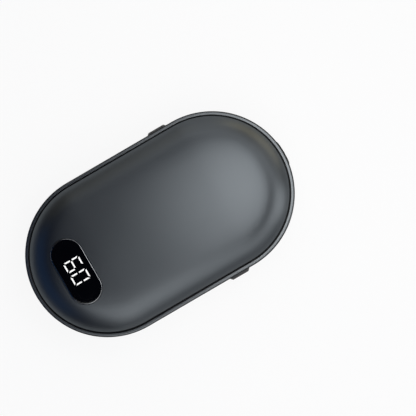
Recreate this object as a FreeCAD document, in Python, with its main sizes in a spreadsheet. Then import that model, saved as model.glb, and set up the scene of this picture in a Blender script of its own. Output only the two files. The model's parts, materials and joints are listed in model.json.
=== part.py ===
import FreeCAD, Part
import math
import os
import re

import Sketcher
from FreeCAD import Vector

# Rechargeable hand warmer, in millimetres.
# X runs along the body towards the charging port, Z out of the front face.
# The origin is the middle of the rear face, which the body lies on.

# Driving dimensions. The cells, the heaters and the bays around them set the outside size.
SIZES = {
    # Battery cells, two side by side
    "cell_diameter": 18.4,
    "cell_length": 65.1,
    "cell_gap": 0.7,
    "cell_edge": 0.6,
    "cell_bead_from_end": 3.0,
    "cell_bead_width": 2.0,
    "cell_bead_depth": 0.45,
    # Room round the cells, out to the outside of the body
    "side_bay": 13.0,
    "display_bay": 29.0,
    "port_bay": 15.9,
    # Layers from a cover's outside in to the cells
    "cover_wall": 1.0,
    "heater_thickness": 0.25,
    "foam_thickness": 1.5,
    "foam_gap": 0.05,
    # Covers
    "shoulder_radius": 15.4,
    "edge_radius": 3.8,
    "crown_rise": 0.7,
    "rim_gap": 0.4,
    # Middle frame
    "frame_height": 8.4,
    "frame_wall": 1.3,
    "frame_edge": 0.7,
    "rib_depth": 2.2,
    "rib_height": 5.6,
    # Seals between the frame's rib and the covers
    "seal_thickness": 0.3,
    "seal_inset": 0.4,
    "seal_gap": 0.1,
    # Display window in the front cover
    "window_length": 27.0,
    "window_width": 12.7,
    "window_from_end": 18.7,
    "window_gap": 0.15,
    "lens_seat": 1.6,
    "lens_set_in": 0.12,
    "lens_bevel": 0.3,
    "glue_thickness": 0.2,
    "glue_inset": 0.1,
    "ledge_width": 1.4,
    "ledge_thickness": 1.0,
    "window_boss_wall": 1.0,
    # Seven-segment display and its board
    "module_gap": 0.2,
    "module_length": 20.0,
    "module_width": 9.6,
    "module_height": 5.5,
    "digit_height": 7.1,
    "digit_width": 4.45,
    "digit_gap": 0.9,
    "stroke_width": 0.5,
    "stroke_gap": 0.2,
    "stroke_thickness": 0.2,
    "display_board_edge": 0.45,
    "display_board_near": 6.5,
    "display_board_far": 7.5,
    "display_board_thickness": 1.0,
    "display_board_gap": 1.25,
    "pillar_ahead": 4.7,
    "pillar_socket_gap": 1.25,
    "pillar_radius": 2.0,
    # Battery cradle
    "cell_clearance": 0.15,
    "strip_thickness": 0.2,
    "strip_width": 4.8,
    "strip_overhang": 4.5,
    "strip_clearance": 0.1,
    "cradle_end_wall": 1.5,
    "cradle_side_wall": 1.6,
    "cradle_height": 4.6,
    "cradle_corner": 3.0,
    "ear_thickness": 2.0,
    "ear_radius": 2.2,
    "near_ear_from_cell_end": 4.0,
    "far_ear_before_arm": 8.0,
    # Screw bosses on the frame, and screws
    "boss_radius": 2.6,
    "boss_set_in": 2.2,
    "pilot_depth": 3.6,
    "pilot_gap": 0.05,
    "board_boss_low_angle": 40.0,
    "board_boss_high_angle": 75.0,
    "screw_radius": 0.75,
    "screw_gap": 0.2,
    "screw_head_radius": 1.5,
    "screw_head_height": 1.0,
    "screw_bite": 3.0,
    "screw_tip": 0.6,
    # Main board
    "board_thickness": 1.2,
    "board_gap": 0.35,
    "board_cell_gap": 0.3,
    "board_cut_past_cells": 0.9,
    "board_cut_corner": 2.0,
    "arm_before_button": 5.0,
    # Push buttons
    "button_from_end": 38.0,
    "button_length": 8.5,
    "button_height": 3.4,
    "button_proud": 1.0,
    "button_bevel": 0.85,
    "button_gap": 0.15,
    "flange_lip": 0.4,
    "flange_thickness": 0.8,
    "flange_gap": 0.1,
    "flange_room": 0.9,
    "post_length": 0.95,
    "button_travel": 0.35,
    # Side-push switches
    "switch_length": 6.0,
    "switch_depth": 3.0,
    "switch_height": 3.2,
    "plunger_length": 2.6,
    "plunger_height": 1.4,
    "plunger_proud": 1.0,
    "plunger_inside": 1.0,
    "plunger_gap": 0.08,
    "plunger_spare": 0.2,
    # Charging port
    "usb_width": 8.94,
    "usb_height": 3.2,
    "usb_length": 7.35,
    "usb_wall": 0.3,
    "usb_set_back": 0.4,
    "usb_gap": 0.15,
    "usb_base_length": 2.0,
    "usb_fit": 0.03,
    "tongue_width": 6.7,
    "tongue_thickness": 0.7,
    "tongue_length": 4.6,
    "contact_width": 0.3,
    "contact_length": 3.4,
    "contact_pitch": 1.0,
    "contact_thickness": 0.06,
    "bezel_wall": 0.6,
    "bezel_gap": 0.05,
    "bezel_proud": 0.3,
    "bezel_bevel": 0.2,
    # Heaters, foam and temperature sensors
    "heater_margin": 0.55,
    "foam_margin": 0.5,
    "tail_width": 4.0,
    "tail_bend": 2.0,
    "tail_gap": 0.1,
    "tail_notch": 1.5,
    "sensor_length": 1.6,
    "sensor_width": 0.8,
    "sensor_height": 0.6,
    "sensor_hole_radius": 1.6,
    # Parts on the boards, the ribbon and the lead
    "tab_width": 3.0,
    "tab_length": 3.3,
    "tab_offset": 4.3,
    "inductor_from_cut": 2.1,
    "inductor_side": 5.0,
    "inductor_height": 3.0,
    "inductor_corner": 1.0,
    "inductor_offset": 8.9,
    "charge_chip_length": 4.9,
    "charge_chip_width": 3.9,
    "charge_chip_height": 1.6,
    "charge_chip_offset": 8.2,
    "charge_chip_from_cut": 2.9,
    "control_chip_side": 4.0,
    "control_chip_height": 0.9,
    "control_chip_past_button": 4.5,
    "chip_edge_gap": 0.7,
    "capacitor_length": 3.2,
    "capacitor_width": 1.6,
    "capacitor_past_button": 16.0,
    "capacitor_pitch": 4.0,
    "socket_length": 3.0,
    "socket_height": 1.2,
    "socket_side_margin": 0.2,
    "socket_edge_gap": 0.3,
    "ribbon_width": 3.2,
    "ribbon_thickness": 0.2,
    "ribbon_bend": 6.0,
    "ribbon_run_out": 4.0,
    "lead_radius": 0.8,
    "lead_cell_gap": 1.3,
    "lead_on_board": 2.5,
}

# Sizes that follow from the driving ones.
DERIVED = {
    "body_length": "display_bay + cell_length + port_bay",
    "body_width": "2 * cell_diameter + cell_gap + 2 * side_bay",
    "cover_layers": "cover_wall + heater_thickness + foam_thickness + foam_gap",
    "body_thickness": "cell_diameter + 2 * cover_layers",
    "half_length": "body_length / 2",
    "mid_level": "body_thickness / 2",
    "end_radius": "body_width / 2",
    "half_straight": "half_length - end_radius",
    "wall_inner": "end_radius - frame_wall",
    "rib_inner": "wall_inner - rib_depth",
    "skirt_outer": "wall_inner - rim_gap",
    "skirt_inner": "skirt_outer - cover_wall",
    "shoulder_run": "shoulder_radius * sin(45)",
    "shoulder_fall": "shoulder_radius * (1 - cos(45))",
    "shoulder_drop": "shoulder_fall + edge_radius * cos(45)",
    "plateau": "skirt_outer - shoulder_run - edge_radius * (1 - sin(45))",
    "crown_swing": "(plateau * plateau + crown_rise * crown_rise) / (2 * crown_rise)",
    "crown_radius": "crown_swing + shoulder_radius",
    "crown_edge": "crown_radius * plateau / crown_swing",
    "crown_drop": "shoulder_radius * (1 - sqrt(1 - (plateau / crown_swing) ^ 2))",
    "cover_depth": "mid_level - rib_height / 2 - seal_thickness",
    "cell_pitch": "cell_diameter + cell_gap",
    "cell_flank": "cell_diameter + cell_gap / 2",
    "cell_near_end": "display_bay - half_length",
    "cell_far_end": "half_length - port_bay",
    "window_x": "window_from_end - half_length",
    "dome_top": "lens_seat + crown_rise - lens_set_in",
    "dome_fall": "crown_radius - sqrt(crown_radius ^ 2 - skirt_inner ^ 2)",
    "ledge_top": "lens_seat + glue_thickness",
    "ledge_bottom": "ledge_top + ledge_thickness",
    "module_top": "body_thickness - ledge_bottom - module_gap",
    "display_board_top": "module_top - module_height",
    "pillar_x": "window_x + pillar_ahead",
    "cradle_top": "mid_level - rib_height / 2",
    "cradle_bottom": "cradle_top - cradle_height",
    "cradle_room": "strip_thickness + strip_clearance",
    "cradle_near": "cell_near_end - cradle_room - cradle_end_wall",
    "cradle_far": "cell_far_end + cradle_room + cradle_end_wall",
    "cradle_half": "cell_flank + cradle_side_wall",
    "boss_reach": "rib_inner - boss_set_in",
    "near_ear_x": "cell_near_end + near_ear_from_cell_end",
    "pilot_radius": "screw_radius + pilot_gap",
    "screw_hole": "screw_radius + screw_gap",
    "board_top": "cradle_top + board_thickness",
    "board_reach": "rib_inner - board_gap",
    "board_inner": "cell_flank + board_cell_gap",
    "board_cut_end": "cell_far_end + board_cut_past_cells",
    "button_x": "half_length - button_from_end",
    "button_level": "board_top + switch_height / 2",
    "arm_tip": "button_x - arm_before_button",
    "far_ear_x": "arm_tip - far_ear_before_arm",
    "flange_face": "wall_inner - flange_gap",
    "post_tip": "flange_face - flange_thickness - post_length",
    "switch_face": "post_tip - plunger_proud",
    "port_level": "board_top + usb_height / 2",
    "usb_front": "half_length - usb_set_back",
    "usb_half": "(usb_width - usb_height) / 2",
    "bezel_inner": "usb_height / 2 + usb_gap",
    "bezel_outer": "bezel_inner + bezel_wall",
    "heater_radius": "plateau - heater_margin",
    "foam_radius": "heater_radius - foam_margin",
    "tail_x": "cradle_far + tail_gap",
    "tail_outer": "tail_x + heater_thickness",
    "tail_bend_x": "tail_outer - tail_bend",
    "foam_far": "half_straight + foam_radius",
    "notch_x": "min(tail_bend_x - tail_gap; foam_far - tail_notch)",
    "socket_width": "ribbon_width + 2 * socket_side_margin",
    "socket_y": "board_inner + socket_edge_gap",
    "ribbon_y": "socket_y + socket_width / 2",
    "display_board_half": "socket_y + socket_width + display_board_edge",
    "pillar_half_spacing": "socket_y - pillar_socket_gap - screw_head_radius",
}

doc = FreeCAD.newDocument("HandWarmer")
sheet = doc.addObject("Spreadsheet::Sheet", "Sizes")
parts = {}


def fill_sheet():
    """Write every driving and derived size into the sheet, each under its own alias."""
    cells = [(name, str(number)) for name, number in SIZES.items()]
    cells += [(name, "=" + text) for name, text in DERIVED.items()]
    for row, (name, content) in enumerate(cells, start=1):
        sheet.set(f"A{row}", name)
        sheet.set(f"B{row}", content)
        sheet.setAlias(f"B{row}", name)
    doc.recompute()


def formula(text):
    """Expression text with each size name pointed at the sheet."""
    return re.sub(r"\b[a-z][a-z0-9_]*\b(?!\()", r"Sizes.\g<0>", text)


def value(text):
    """Present number behind an expression on the sheet's sizes."""
    return float(sheet.evalExpression(formula(text)))


def bind(item, **properties):
    """Tie an object's properties to expressions on the sheet's sizes."""
    for name, text in properties.items():
        item.setExpression(name, formula(text))


def place(item, x="0", y="0", z="0", axis=None, angle=0):
    """Turn an object about an axis and tie its position to the sheet."""
    if axis is not None:
        item.Placement = FreeCAD.Placement(Vector(), FreeCAD.Rotation(axis, angle))
    for letter, text in zip("xyz", (x, y, z)):
        item.setExpression(f"Placement.Base.{letter}", formula(text))


def keep(label, item):
    """Give a finished sub-part its label, which also names its file."""
    item.Label = label
    parts[label] = item
    return item


def origin_plane(body, role):
    """One of a body's own three base planes."""
    return next(plane for plane in body.Origin.OriginFeatures if plane.Role == role)


def new_body(name):
    """Empty body for one sub-part."""
    return doc.addObject("PartDesign::Body", name)


def new_sketch(body, name, role="XY_Plane", level="0"):
    """Sketch on a base plane of its body, moved along the plane's normal."""
    sketch = body.newObject("Sketcher::SketchObject", body.Name + name)
    sketch.AttachmentSupport = [(origin_plane(body, role), "")]
    sketch.MapMode = "FlatFace"
    sketch.setExpression("AttachmentOffset.Base.z", formula(level))
    return sketch


def pin_point(sketch, geometry, end, x, y):
    """Tie one point of a sketch to a pair of coordinates."""
    for kind, axis, text in (("DistanceX", -2, x), ("DistanceY", -1, y)):
        number = value(text)
        if abs(number) < 1e-9:
            sketch.addConstraint(Sketcher.Constraint("PointOnObject", geometry, end, axis))
        elif number > 0:
            index = sketch.addConstraint(Sketcher.Constraint(kind, -1, 1, geometry, end, number))
            sketch.setExpression(f"Constraints[{index}]", formula(text))
        else:
            index = sketch.addConstraint(Sketcher.Constraint(kind, geometry, end, -1, 1, -number))
            sketch.setExpression(f"Constraints[{index}]", formula(f"-({text})"))


def set_radius(sketch, geometry, radius):
    """Tie the radius of an arc or circle to the sheet."""
    index = sketch.addConstraint(Sketcher.Constraint("Radius", geometry, value(radius)))
    sketch.setExpression(f"Constraints[{index}]", formula(radius))


def arc_between(start, end, radius):
    """Arc of under half a turn, anticlockwise from start to end."""
    chord = end - start
    rise = math.sqrt(radius**2 - (chord.Length / 2) ** 2)
    centre = (start + end) * 0.5 + Vector(-chord.y, chord.x, 0).normalize() * rise
    angles = [math.atan2(p.y - centre.y, p.x - centre.x) for p in (start, end)]
    return Part.ArcOfCircle(Part.Circle(centre, Vector(0, 0, 1), radius), *angles)


def add_outline(sketch, corners):
    """Closed outline through the corners, anticlockwise or clockwise.

    A corner (x, y) ends a straight edge. A corner (x, y, radius, turn) ends an arc, which turns
    left where turn is 1 and right where it is -1.
    """
    points = [Vector(value(corner[0]), value(corner[1]), 0) for corner in corners]
    edges = []
    for index, corner in enumerate(corners):
        start, end = points[index - 1], points[index]
        if len(corner) == 2:
            edges.append((sketch.addGeometry(Part.LineSegment(start, end)), 1, 2))
        elif corner[3] > 0:
            edges.append((sketch.addGeometry(arc_between(start, end, value(corner[2]))), 1, 2))
        else:
            edges.append((sketch.addGeometry(arc_between(end, start, value(corner[2]))), 2, 1))
    for index, corner in enumerate(corners):
        edge, _, end = edges[index]
        following, start, _ = edges[(index + 1) % len(edges)]
        sketch.addConstraint(Sketcher.Constraint("Coincident", edge, end, following, start))
        pin_point(sketch, edge, end, corner[0], corner[1])
        if len(corner) > 2:
            set_radius(sketch, edge, corner[2])


def add_circle(sketch, x, y, radius):
    """Circle at a point of a sketch."""
    centre = Vector(value(x), value(y), 0)
    circle = sketch.addGeometry(Part.Circle(centre, Vector(0, 0, 1), value(radius)))
    pin_point(sketch, circle, 3, x, y)
    set_radius(sketch, circle, radius)


def pill(half, radius, x="0", y="0", upright=False):
    """Corners of a straight-sided oval with round ends, half of its straight length each way."""
    corners = []
    for along, across in ((1, -1), (1, 0), (1, 1), (-1, 1), (-1, 0), (-1, -1)):
        reach = f"{along} * ({half})" if across else f"{along} * ({half} + {radius})"
        side = f"{across} * ({radius})"
        dx, dy = (f"-({side})", reach) if upright else (reach, side)
        corner = (f"{x} + {dx}", f"{y} + {dy}")
        straight = across == -along
        corners.append(corner if straight else corner + (radius, 1))
    return corners


def rectangle(x0, x1, y0, y1, corner=None):
    """Corners of a rectangle, rounded where a corner radius is given."""
    if corner is None:
        return [(x0, y0), (x1, y0), (x1, y1), (x0, y1)]
    left, right = f"{x0} + {corner}", f"{x1} - {corner}"
    low, high = f"{y0} + {corner}", f"{y1} - {corner}"
    return [
        (right, y0),
        (x1, low, corner, 1),
        (x1, high),
        (right, y1, corner, 1),
        (left, y1),
        (x0, high, corner, 1),
        (x0, low),
        (left, y0, corner, 1),
    ]


def pad(body, sketch, length, both_ways=False, back=False):
    """Raise a sketch into a solid along its plane's normal, or back against it."""
    feature = body.newObject("PartDesign::Pad", sketch.Name + "Pad")
    feature.Profile = sketch
    feature.Reversed = back
    if both_ways:
        feature.SideType = "Symmetric"
    bind(feature, Length=length)
    doc.recompute()
    return feature


def pocket(body, sketch, length, both_ways=False, along=False):
    """Cut a sketch into the body against its plane's normal, or along it."""
    before = body.Shape.Volume
    feature = body.newObject("PartDesign::Pocket", sketch.Name + "Pocket")
    feature.Profile = sketch
    feature.Reversed = along
    if both_ways:
        feature.SideType = "Symmetric"
    bind(feature, Length=length)
    doc.recompute()
    if body.Shape.Volume >= before:
        raise RuntimeError(f"{feature.Name} cuts nothing")
    return feature


def bevel(body, number, size):
    """Chamfer the edges of one of the body's faces."""
    base = body.Tip
    chamfer = body.newObject("PartDesign::Chamfer", body.Name + "Bevel")
    chamfer.Base = (base, [f"Face{number}"])
    bind(chamfer, Size=size)
    doc.recompute()
    return chamfer


def bevel_face(body, direction, size):
    """Chamfer the edges of the flat face that lies furthest along a direction."""
    flat = [
        (face.CenterOfMass.dot(direction), number)
        for number, face in enumerate(body.Tip.Shape.Faces, start=1)
        if face.Surface.TypeId == "Part::GeomPlane"
        and abs(abs(face.normalAt(0, 0).dot(direction)) - 1) < 1e-6
    ]
    return bevel(body, max(flat)[1], size)


def bevel_dome(body, size):
    """Chamfer the edges of the body's one domed face."""
    faces = enumerate(body.Tip.Shape.Faces, start=1)
    (number,) = [number for number, face in faces if face.Surface.TypeId == "Part::GeomSphere"]
    return bevel(body, number, size)


def sweep_round(body, section):
    """Carry a half section along the straight side and round the end, then mirror it all round."""
    pad(body, section, "half_straight", back=True)
    turn = body.newObject("PartDesign::Revolution", section.Name + "Turn")
    turn.Profile = section
    turn.ReferenceAxis = (section, ["V_Axis"])
    turn.Angle = 90
    turn.Reversed = True
    doc.recompute()
    for role in ("XZ_Plane", "YZ_Plane"):
        mirrored = body.newObject("PartDesign::Mirrored", section.Name + role[:2])
        mirrored.TransformMode = "Whole shape"
        mirrored.MirrorPlane = (origin_plane(body, role), [""])
        body.Tip = mirrored
        doc.recompute()


def box(name, length, width, height, x="0", y="0", z="0"):
    """Block with one corner at the given place."""
    block = doc.addObject("Part::Box", name)
    bind(block, Length=length, Width=width, Height=height)
    place(block, x, y, z)
    return block


def rod(name, radius, height, x="0", y="0", z="0", axis=None, angle=0):
    """Round bar from the given place along Z, or turned about an axis."""
    bar = doc.addObject("Part::Cylinder", name)
    bind(bar, Radius=radius, Height=height)
    place(bar, x, y, z, axis, angle)
    return bar


def fuse(name, items):
    """Join touching primitives into one solid."""
    joined = doc.addObject("Part::MultiFuse", name)
    joined.Shapes = items
    return joined


def cut(name, base, tools):
    """Take primitives out of a base."""
    result = doc.addObject("Part::Cut", name)
    result.Base = base
    result.Tool = tools[0] if len(tools) == 1 else fuse(name + "Tools", tools)
    return result


def group(name, items):
    """Separate solids that make up one sub-part."""
    together = doc.addObject("Part::Compound", name)
    together.Links = items
    return together


def cover_shell(name, crowned):
    """Shell with a flat or gently crowned plateau, a two-arc shoulder and a straight skirt.

    It is drawn with the flat plateau at height 0, a crown above that and the skirt below. The crown
    runs into the shoulder without a kink, and the inside is flat either way.
    """
    body = new_body(name)
    section = new_sketch(body, "Section", "YZ_Plane", "half_straight")
    inner_shoulder = "shoulder_radius - cover_wall"
    inner_edge = "edge_radius - cover_wall"
    flat = [("0", "0"), ("plateau", "0")]
    crown = [("0", "crown_rise"), ("crown_edge", "-crown_drop", "crown_radius", -1)]
    add_outline(
        section,
        [
            *(crown if crowned else flat),
            ("plateau + shoulder_run", "-shoulder_fall", "shoulder_radius", -1),
            ("skirt_outer", "-shoulder_drop", "edge_radius", -1),
            ("skirt_outer", "-cover_depth"),
            ("skirt_inner", "-cover_depth"),
            ("skirt_inner", "-shoulder_drop"),
            (
                f"plateau + ({inner_shoulder}) * sin(45)",
                f"({inner_shoulder}) * cos(45) - shoulder_radius",
                inner_edge,
                1,
            ),
            ("plateau", "-cover_wall", inner_shoulder, 1),
            ("0", "-cover_wall"),
        ],
    )
    sweep_round(body, section)
    return body


def window_pill(x, grow):
    """Outline of the display window, which runs across the body, grown all round."""
    return pill("(window_length - window_width) / 2", f"window_width / 2 + {grow}", x, upright=True)


def make_covers():
    """Crowned front cover with its window seat and display pillars, and flat rear cover."""
    rear = cover_shell("RearCover", crowned=False)
    place(rear, axis=Vector(1, 0, 0), angle=180)
    keep("rear_cover", rear)

    front = cover_shell("FrontCover", crowned=True)
    place(front, z="body_thickness")
    boss = new_sketch(front, "WindowBoss", level="-cover_wall")
    add_outline(boss, window_pill("window_x", "(window_gap + window_boss_wall)"))
    pad(front, boss, "ledge_bottom - cover_wall", back=True)
    pillars = new_sketch(front, "Pillars", level="-cover_wall")
    holes = new_sketch(front, "PillarHoles", level="display_board_top - body_thickness")
    for side in ("", "-"):
        add_circle(pillars, "pillar_x", f"{side}pillar_half_spacing", "pillar_radius")
        add_circle(holes, "pillar_x", f"{side}pillar_half_spacing", "pilot_radius")
    pad(front, pillars, "body_thickness - cover_wall - display_board_top", back=True)
    pocket(front, holes, "pilot_depth", along=True)

    seat = new_sketch(front, "WindowSeat", level="crown_rise")
    add_outline(seat, window_pill("window_x", "window_gap"))
    pocket(front, seat, "crown_rise + ledge_top")
    mouth = new_sketch(front, "WindowMouth", level="-ledge_top")
    add_outline(mouth, window_pill("window_x", "(window_gap - ledge_width)"))
    pocket(front, mouth, "ledge_thickness + glue_thickness")
    keep("front_cover", front)


def boss_centres():
    """Places of the frame's screw bosses: four for the cradle, four for the main board."""
    cradle = [(x, f"{side}boss_reach") for x in ("near_ear_x", "far_ear_x") for side in ("", "-")]
    board = []
    for angle in ("board_boss_low_angle", "board_boss_high_angle"):
        for side in ("", "-"):
            across = f"{side}boss_reach * sin({angle})"
            board.append((f"half_straight + boss_reach * cos({angle})", across))
    return cradle, board


def make_frame():
    """Middle frame: rim wall and inner rib, screw bosses, button slots and the bezel's seat."""
    frame = new_body("MidFrame")
    place(frame, z="mid_level")
    section = new_sketch(frame, "Section", "YZ_Plane", "half_straight")
    rib, rim = "rib_height / 2", "frame_height / 2"
    rounded = "end_radius - frame_edge"
    add_outline(
        section,
        [
            ("rib_inner", f"-{rib}"),
            ("wall_inner", f"-{rib}"),
            ("wall_inner", f"-{rim}"),
            (rounded, f"-{rim}"),
            ("end_radius", f"frame_edge - {rim}", "frame_edge", 1),
            ("end_radius", f"{rim} - frame_edge"),
            (rounded, rim, "frame_edge", 1),
            ("wall_inner", rim),
            ("wall_inner", rib),
            ("rib_inner", rib),
        ],
    )
    sweep_round(frame, section)

    cradle_bosses, board_bosses = boss_centres()
    board_seat = "board_top - mid_level"
    for name, level, centres in (
        ("Cradle", f"-{rib}", cradle_bosses),
        ("Board", board_seat, board_bosses),
    ):
        bosses = new_sketch(frame, name + "Bosses", level=level)
        pilots = new_sketch(frame, name + "Pilots", level=level)
        for x, y in centres:
            add_circle(bosses, x, y, "boss_radius")
            add_circle(pilots, x, y, "pilot_radius")
        pad(frame, bosses, f"{rib} - ({level})")
        pocket(frame, pilots, "pilot_depth", along=True)

    opening = new_sketch(frame, "PortOpening", "YZ_Plane", "half_length")
    add_outline(opening, pill("usb_half", "bezel_outer + bezel_gap", y="port_level - mid_level"))
    pocket(frame, opening, "frame_wall + rib_depth + boss_set_in")

    button_half = "(button_length - button_height) / 2"
    button_height = "button_level - mid_level"
    slot = new_sketch(frame, "ButtonSlots", "XZ_Plane")
    slot_radius = "button_height / 2 + button_gap"
    add_outline(slot, pill(button_half, slot_radius, "button_x", button_height))
    pocket(frame, slot, "body_width + 2 * button_proud", both_ways=True)
    room = new_sketch(frame, "FlangeRooms", "XZ_Plane")
    room_radius = "button_height / 2 + flange_lip + button_gap"
    add_outline(room, pill(f"{button_half} + flange_room", room_radius, "button_x", button_height))
    pocket(frame, room, "2 * wall_inner", both_ways=True)
    keep("mid_frame", frame)


def make_seals():
    """Flat rings that bond the covers to the two sides of the frame's rib."""
    levels = {
        "front_seal": "mid_level + rib_height / 2",
        "rear_seal": "mid_level - rib_height / 2 - seal_thickness",
    }
    for label, level in levels.items():
        body = new_body(label.title().replace("_", ""))
        place(body, z=level)
        ring = new_sketch(body, "Ring")
        add_outline(ring, pill("half_straight", "wall_inner - seal_gap"))
        add_outline(ring, pill("half_straight", "skirt_inner - seal_inset"))
        pad(body, ring, "seal_thickness")
        keep(label, body)


def make_window():
    """Lens of the display, domed like the front cover, and the glue ring that it sits on."""
    lens = new_body("DisplayWindow")
    place(lens, "-half_straight", z="body_thickness - lens_seat")
    plan = new_sketch(lens, "Plan")
    add_outline(plan, window_pill("window_x + half_straight", "0"))
    pad(lens, plan, "lens_seat + crown_rise")
    above = new_sketch(lens, "AboveDome", "XZ_Plane")
    add_outline(
        above,
        [
            ("0", "dome_top"),
            ("skirt_inner", "dome_top - dome_fall", "crown_radius", -1),
            ("skirt_inner", "dome_top + crown_rise"),
            ("0", "dome_top + crown_rise"),
        ],
    )
    dome = lens.newObject("PartDesign::Groove", "Dome")
    dome.Profile = above
    dome.ReferenceAxis = (above, ["V_Axis"])
    dome.Angle = 360
    doc.recompute()
    bevel_dome(lens, "lens_bevel")
    keep("display_window", lens)

    glue = new_body("WindowAdhesive")
    place(glue, "window_x", z="body_thickness - ledge_top")
    ring = new_sketch(glue, "Ring")
    add_outline(ring, window_pill("0", "-glue_inset"))
    add_outline(ring, window_pill("0", "(window_gap - ledge_width)"))
    pad(glue, ring, "glue_thickness")
    keep("window_adhesive", glue)


def segment_face(along, across, length, upright):
    """Six-sided bar of a display figure, with pointed ends, centred at (along, across)."""
    half = length / 2
    tip = value("stroke_width") / 2
    straight = half - tip
    shape = [(-half, 0), (-straight, -tip), (straight, -tip), (half, 0), (straight, tip), (-straight, tip)]
    turned = [(-b, a) if upright else (a, b) for a, b in shape]
    # Figures stand with their tops towards the port and read towards the -Y side.
    points = [Vector(across + b, -(along + a), 0) for a, b in turned]
    return Part.Face(Part.makePolygon(points + points[:1]))


def make_display():
    """Display block, its lit and dark segments, its board and the screws that hold it."""
    block = new_body("DisplayModule")
    place(block, "window_x", z="display_board_top")
    plan = new_sketch(block, "Plan")
    half_x, half_y = "module_width / 2", "module_length / 2"
    add_outline(plan, rectangle(f"-{half_x}", half_x, f"-{half_y}", half_y))
    pad(block, plan, "module_height")
    bevel_face(block, Vector(0, 0, 1), "stroke_thickness")
    keep("display_module", block)

    column = (value("digit_width") - value("stroke_width")) / 2
    row = (value("digit_height") - value("stroke_width")) / 2
    gap = value("stroke_gap")
    segments = {
        "a": (0, row, 2 * column - gap, False),
        "b": (column, row / 2, row - gap, True),
        "c": (column, -row / 2, row - gap, True),
        "d": (0, -row, 2 * column - gap, False),
        "e": (-column, -row / 2, row - gap, True),
        "f": (-column, row / 2, row - gap, True),
        "g": (0, 0, 2 * column - gap, False),
    }
    lit_names = ("acdefg", "abcdef")
    pitch = value("digit_width") + value("digit_gap")
    solids = {"lit_segments": [], "unlit_segments": []}
    for digit, names in enumerate(lit_names):
        middle = (digit - 0.5) * pitch
        for name, (along, across, length, upright) in segments.items():
            face = segment_face(middle + along, across, length, upright)
            solid = face.extrude(Vector(0, 0, value("stroke_thickness")))
            solids["lit_segments" if name in names else "unlit_segments"].append(solid)
    for label, items in solids.items():
        figures = doc.addObject("Part::Feature", label.title().replace("_", ""))
        figures.Shape = Part.makeCompound(items)
        place(figures, "window_x", z="module_top")
        keep(label, figures)

    bottom = "display_board_top - display_board_thickness"
    sheet_box = box(
        "DisplayBoardSheet", "display_board_near + display_board_far", "2 * display_board_half",
        "display_board_thickness", "window_x - display_board_near", "-display_board_half", bottom,
    )
    rounding = rod(
        "DisplayBoardRounding", "rib_inner - display_board_gap", "display_board_thickness",
        "-half_straight", z=bottom,
    )
    blank = doc.addObject("Part::MultiCommon", "DisplayBoardBlank")
    blank.Shapes = [sheet_box, rounding]
    holes = [
        rod(f"DisplayBoardHole{index}", "screw_hole", "display_board_thickness",
            "pillar_x", f"{side}pillar_half_spacing", bottom)
        for index, side in enumerate(("", "-"))
    ]
    keep("display_board", cut("DisplayBoard", blank, holes))
    screws = [
        screw(f"DisplayScrew{index}", "pillar_x", f"{side}pillar_half_spacing", bottom,
              "display_board_thickness")
        for index, side in enumerate(("", "-"))
    ]
    keep("display_screws", group("DisplayScrews", screws))


def screw(name, x, y, seat, grip):
    """Pan-head screw driven upwards: head below the seat, shank through the grip and on."""
    head = rod(name + "Head", "screw_head_radius", "screw_head_height", x, y,
               f"{seat} - screw_head_height")
    shank = rod(name + "Shank", "screw_radius", f"{grip} + screw_bite", x, y, seat)
    tip = doc.addObject("Part::Cone", name + "Tip")
    bind(tip, Radius1="screw_radius", Radius2="screw_radius / 3", Height="screw_tip")
    place(tip, x, y, f"{seat} + {grip} + screw_bite")
    return fuse(name, [head, shank, tip])


def make_cells():
    """Two cells, the nickel strips at their ends and the lead to the main board."""
    for label, side in (("battery_cell_left", ""), ("battery_cell_right", "-")):
        body = new_body(label.title().replace("_", ""))
        place(body, "cell_near_end", f"{side}cell_pitch / 2", "mid_level")
        half = new_sketch(body, "Half", "XZ_Plane")
        radius = "cell_diameter / 2"
        bead = "cell_length - cell_bead_from_end"
        add_outline(
            half,
            [
                ("0", "0"),
                ("cell_length", "0"),
                ("cell_length", f"{radius} - cell_edge"),
                ("cell_length - cell_edge", radius),
                (f"{bead} + cell_bead_width / 2", radius),
                (bead, f"{radius} - cell_bead_depth"),
                (f"{bead} - cell_bead_width / 2", radius),
                ("cell_edge", radius),
                ("0", f"{radius} - cell_edge"),
            ],
        )
        turn = body.newObject("PartDesign::Revolution", label.title().replace("_", "") + "Turn")
        turn.Profile = half
        turn.ReferenceAxis = (half, ["H_Axis"])
        turn.Angle = 360
        doc.recompute()
        keep(label, body)

    low = "mid_level - strip_width / 2"
    reach = "cell_pitch / 2 + strip_overhang"
    lead_y = "cell_flank + lead_cell_gap + lead_radius"
    plate = box("PositivePlate", "strip_thickness", f"2 * ({reach})", "strip_width",
                "cell_far_end", f"-({reach})", low)
    tab = box("PositiveTab", "strip_thickness + tab_length", "tab_width", "strip_thickness",
              "cell_far_end", "tab_offset - tab_width / 2", "board_top")
    keep("positive_strip", fuse("PositiveStrip", [plate, tab]))
    keep("negative_strip", box(
        "NegativeStrip", "strip_thickness", f"{reach} + {lead_y} + lead_radius", "strip_width",
        "cell_near_end - strip_thickness", f"-({lead_y} + lead_radius)", low))
    keep("negative_lead", rod(
        "NegativeLead", "lead_radius", "arm_tip + lead_on_board - cell_near_end",
        "cell_near_end", f"-({lead_y})", "board_top + lead_radius", Vector(0, 1, 0), 90))


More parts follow.
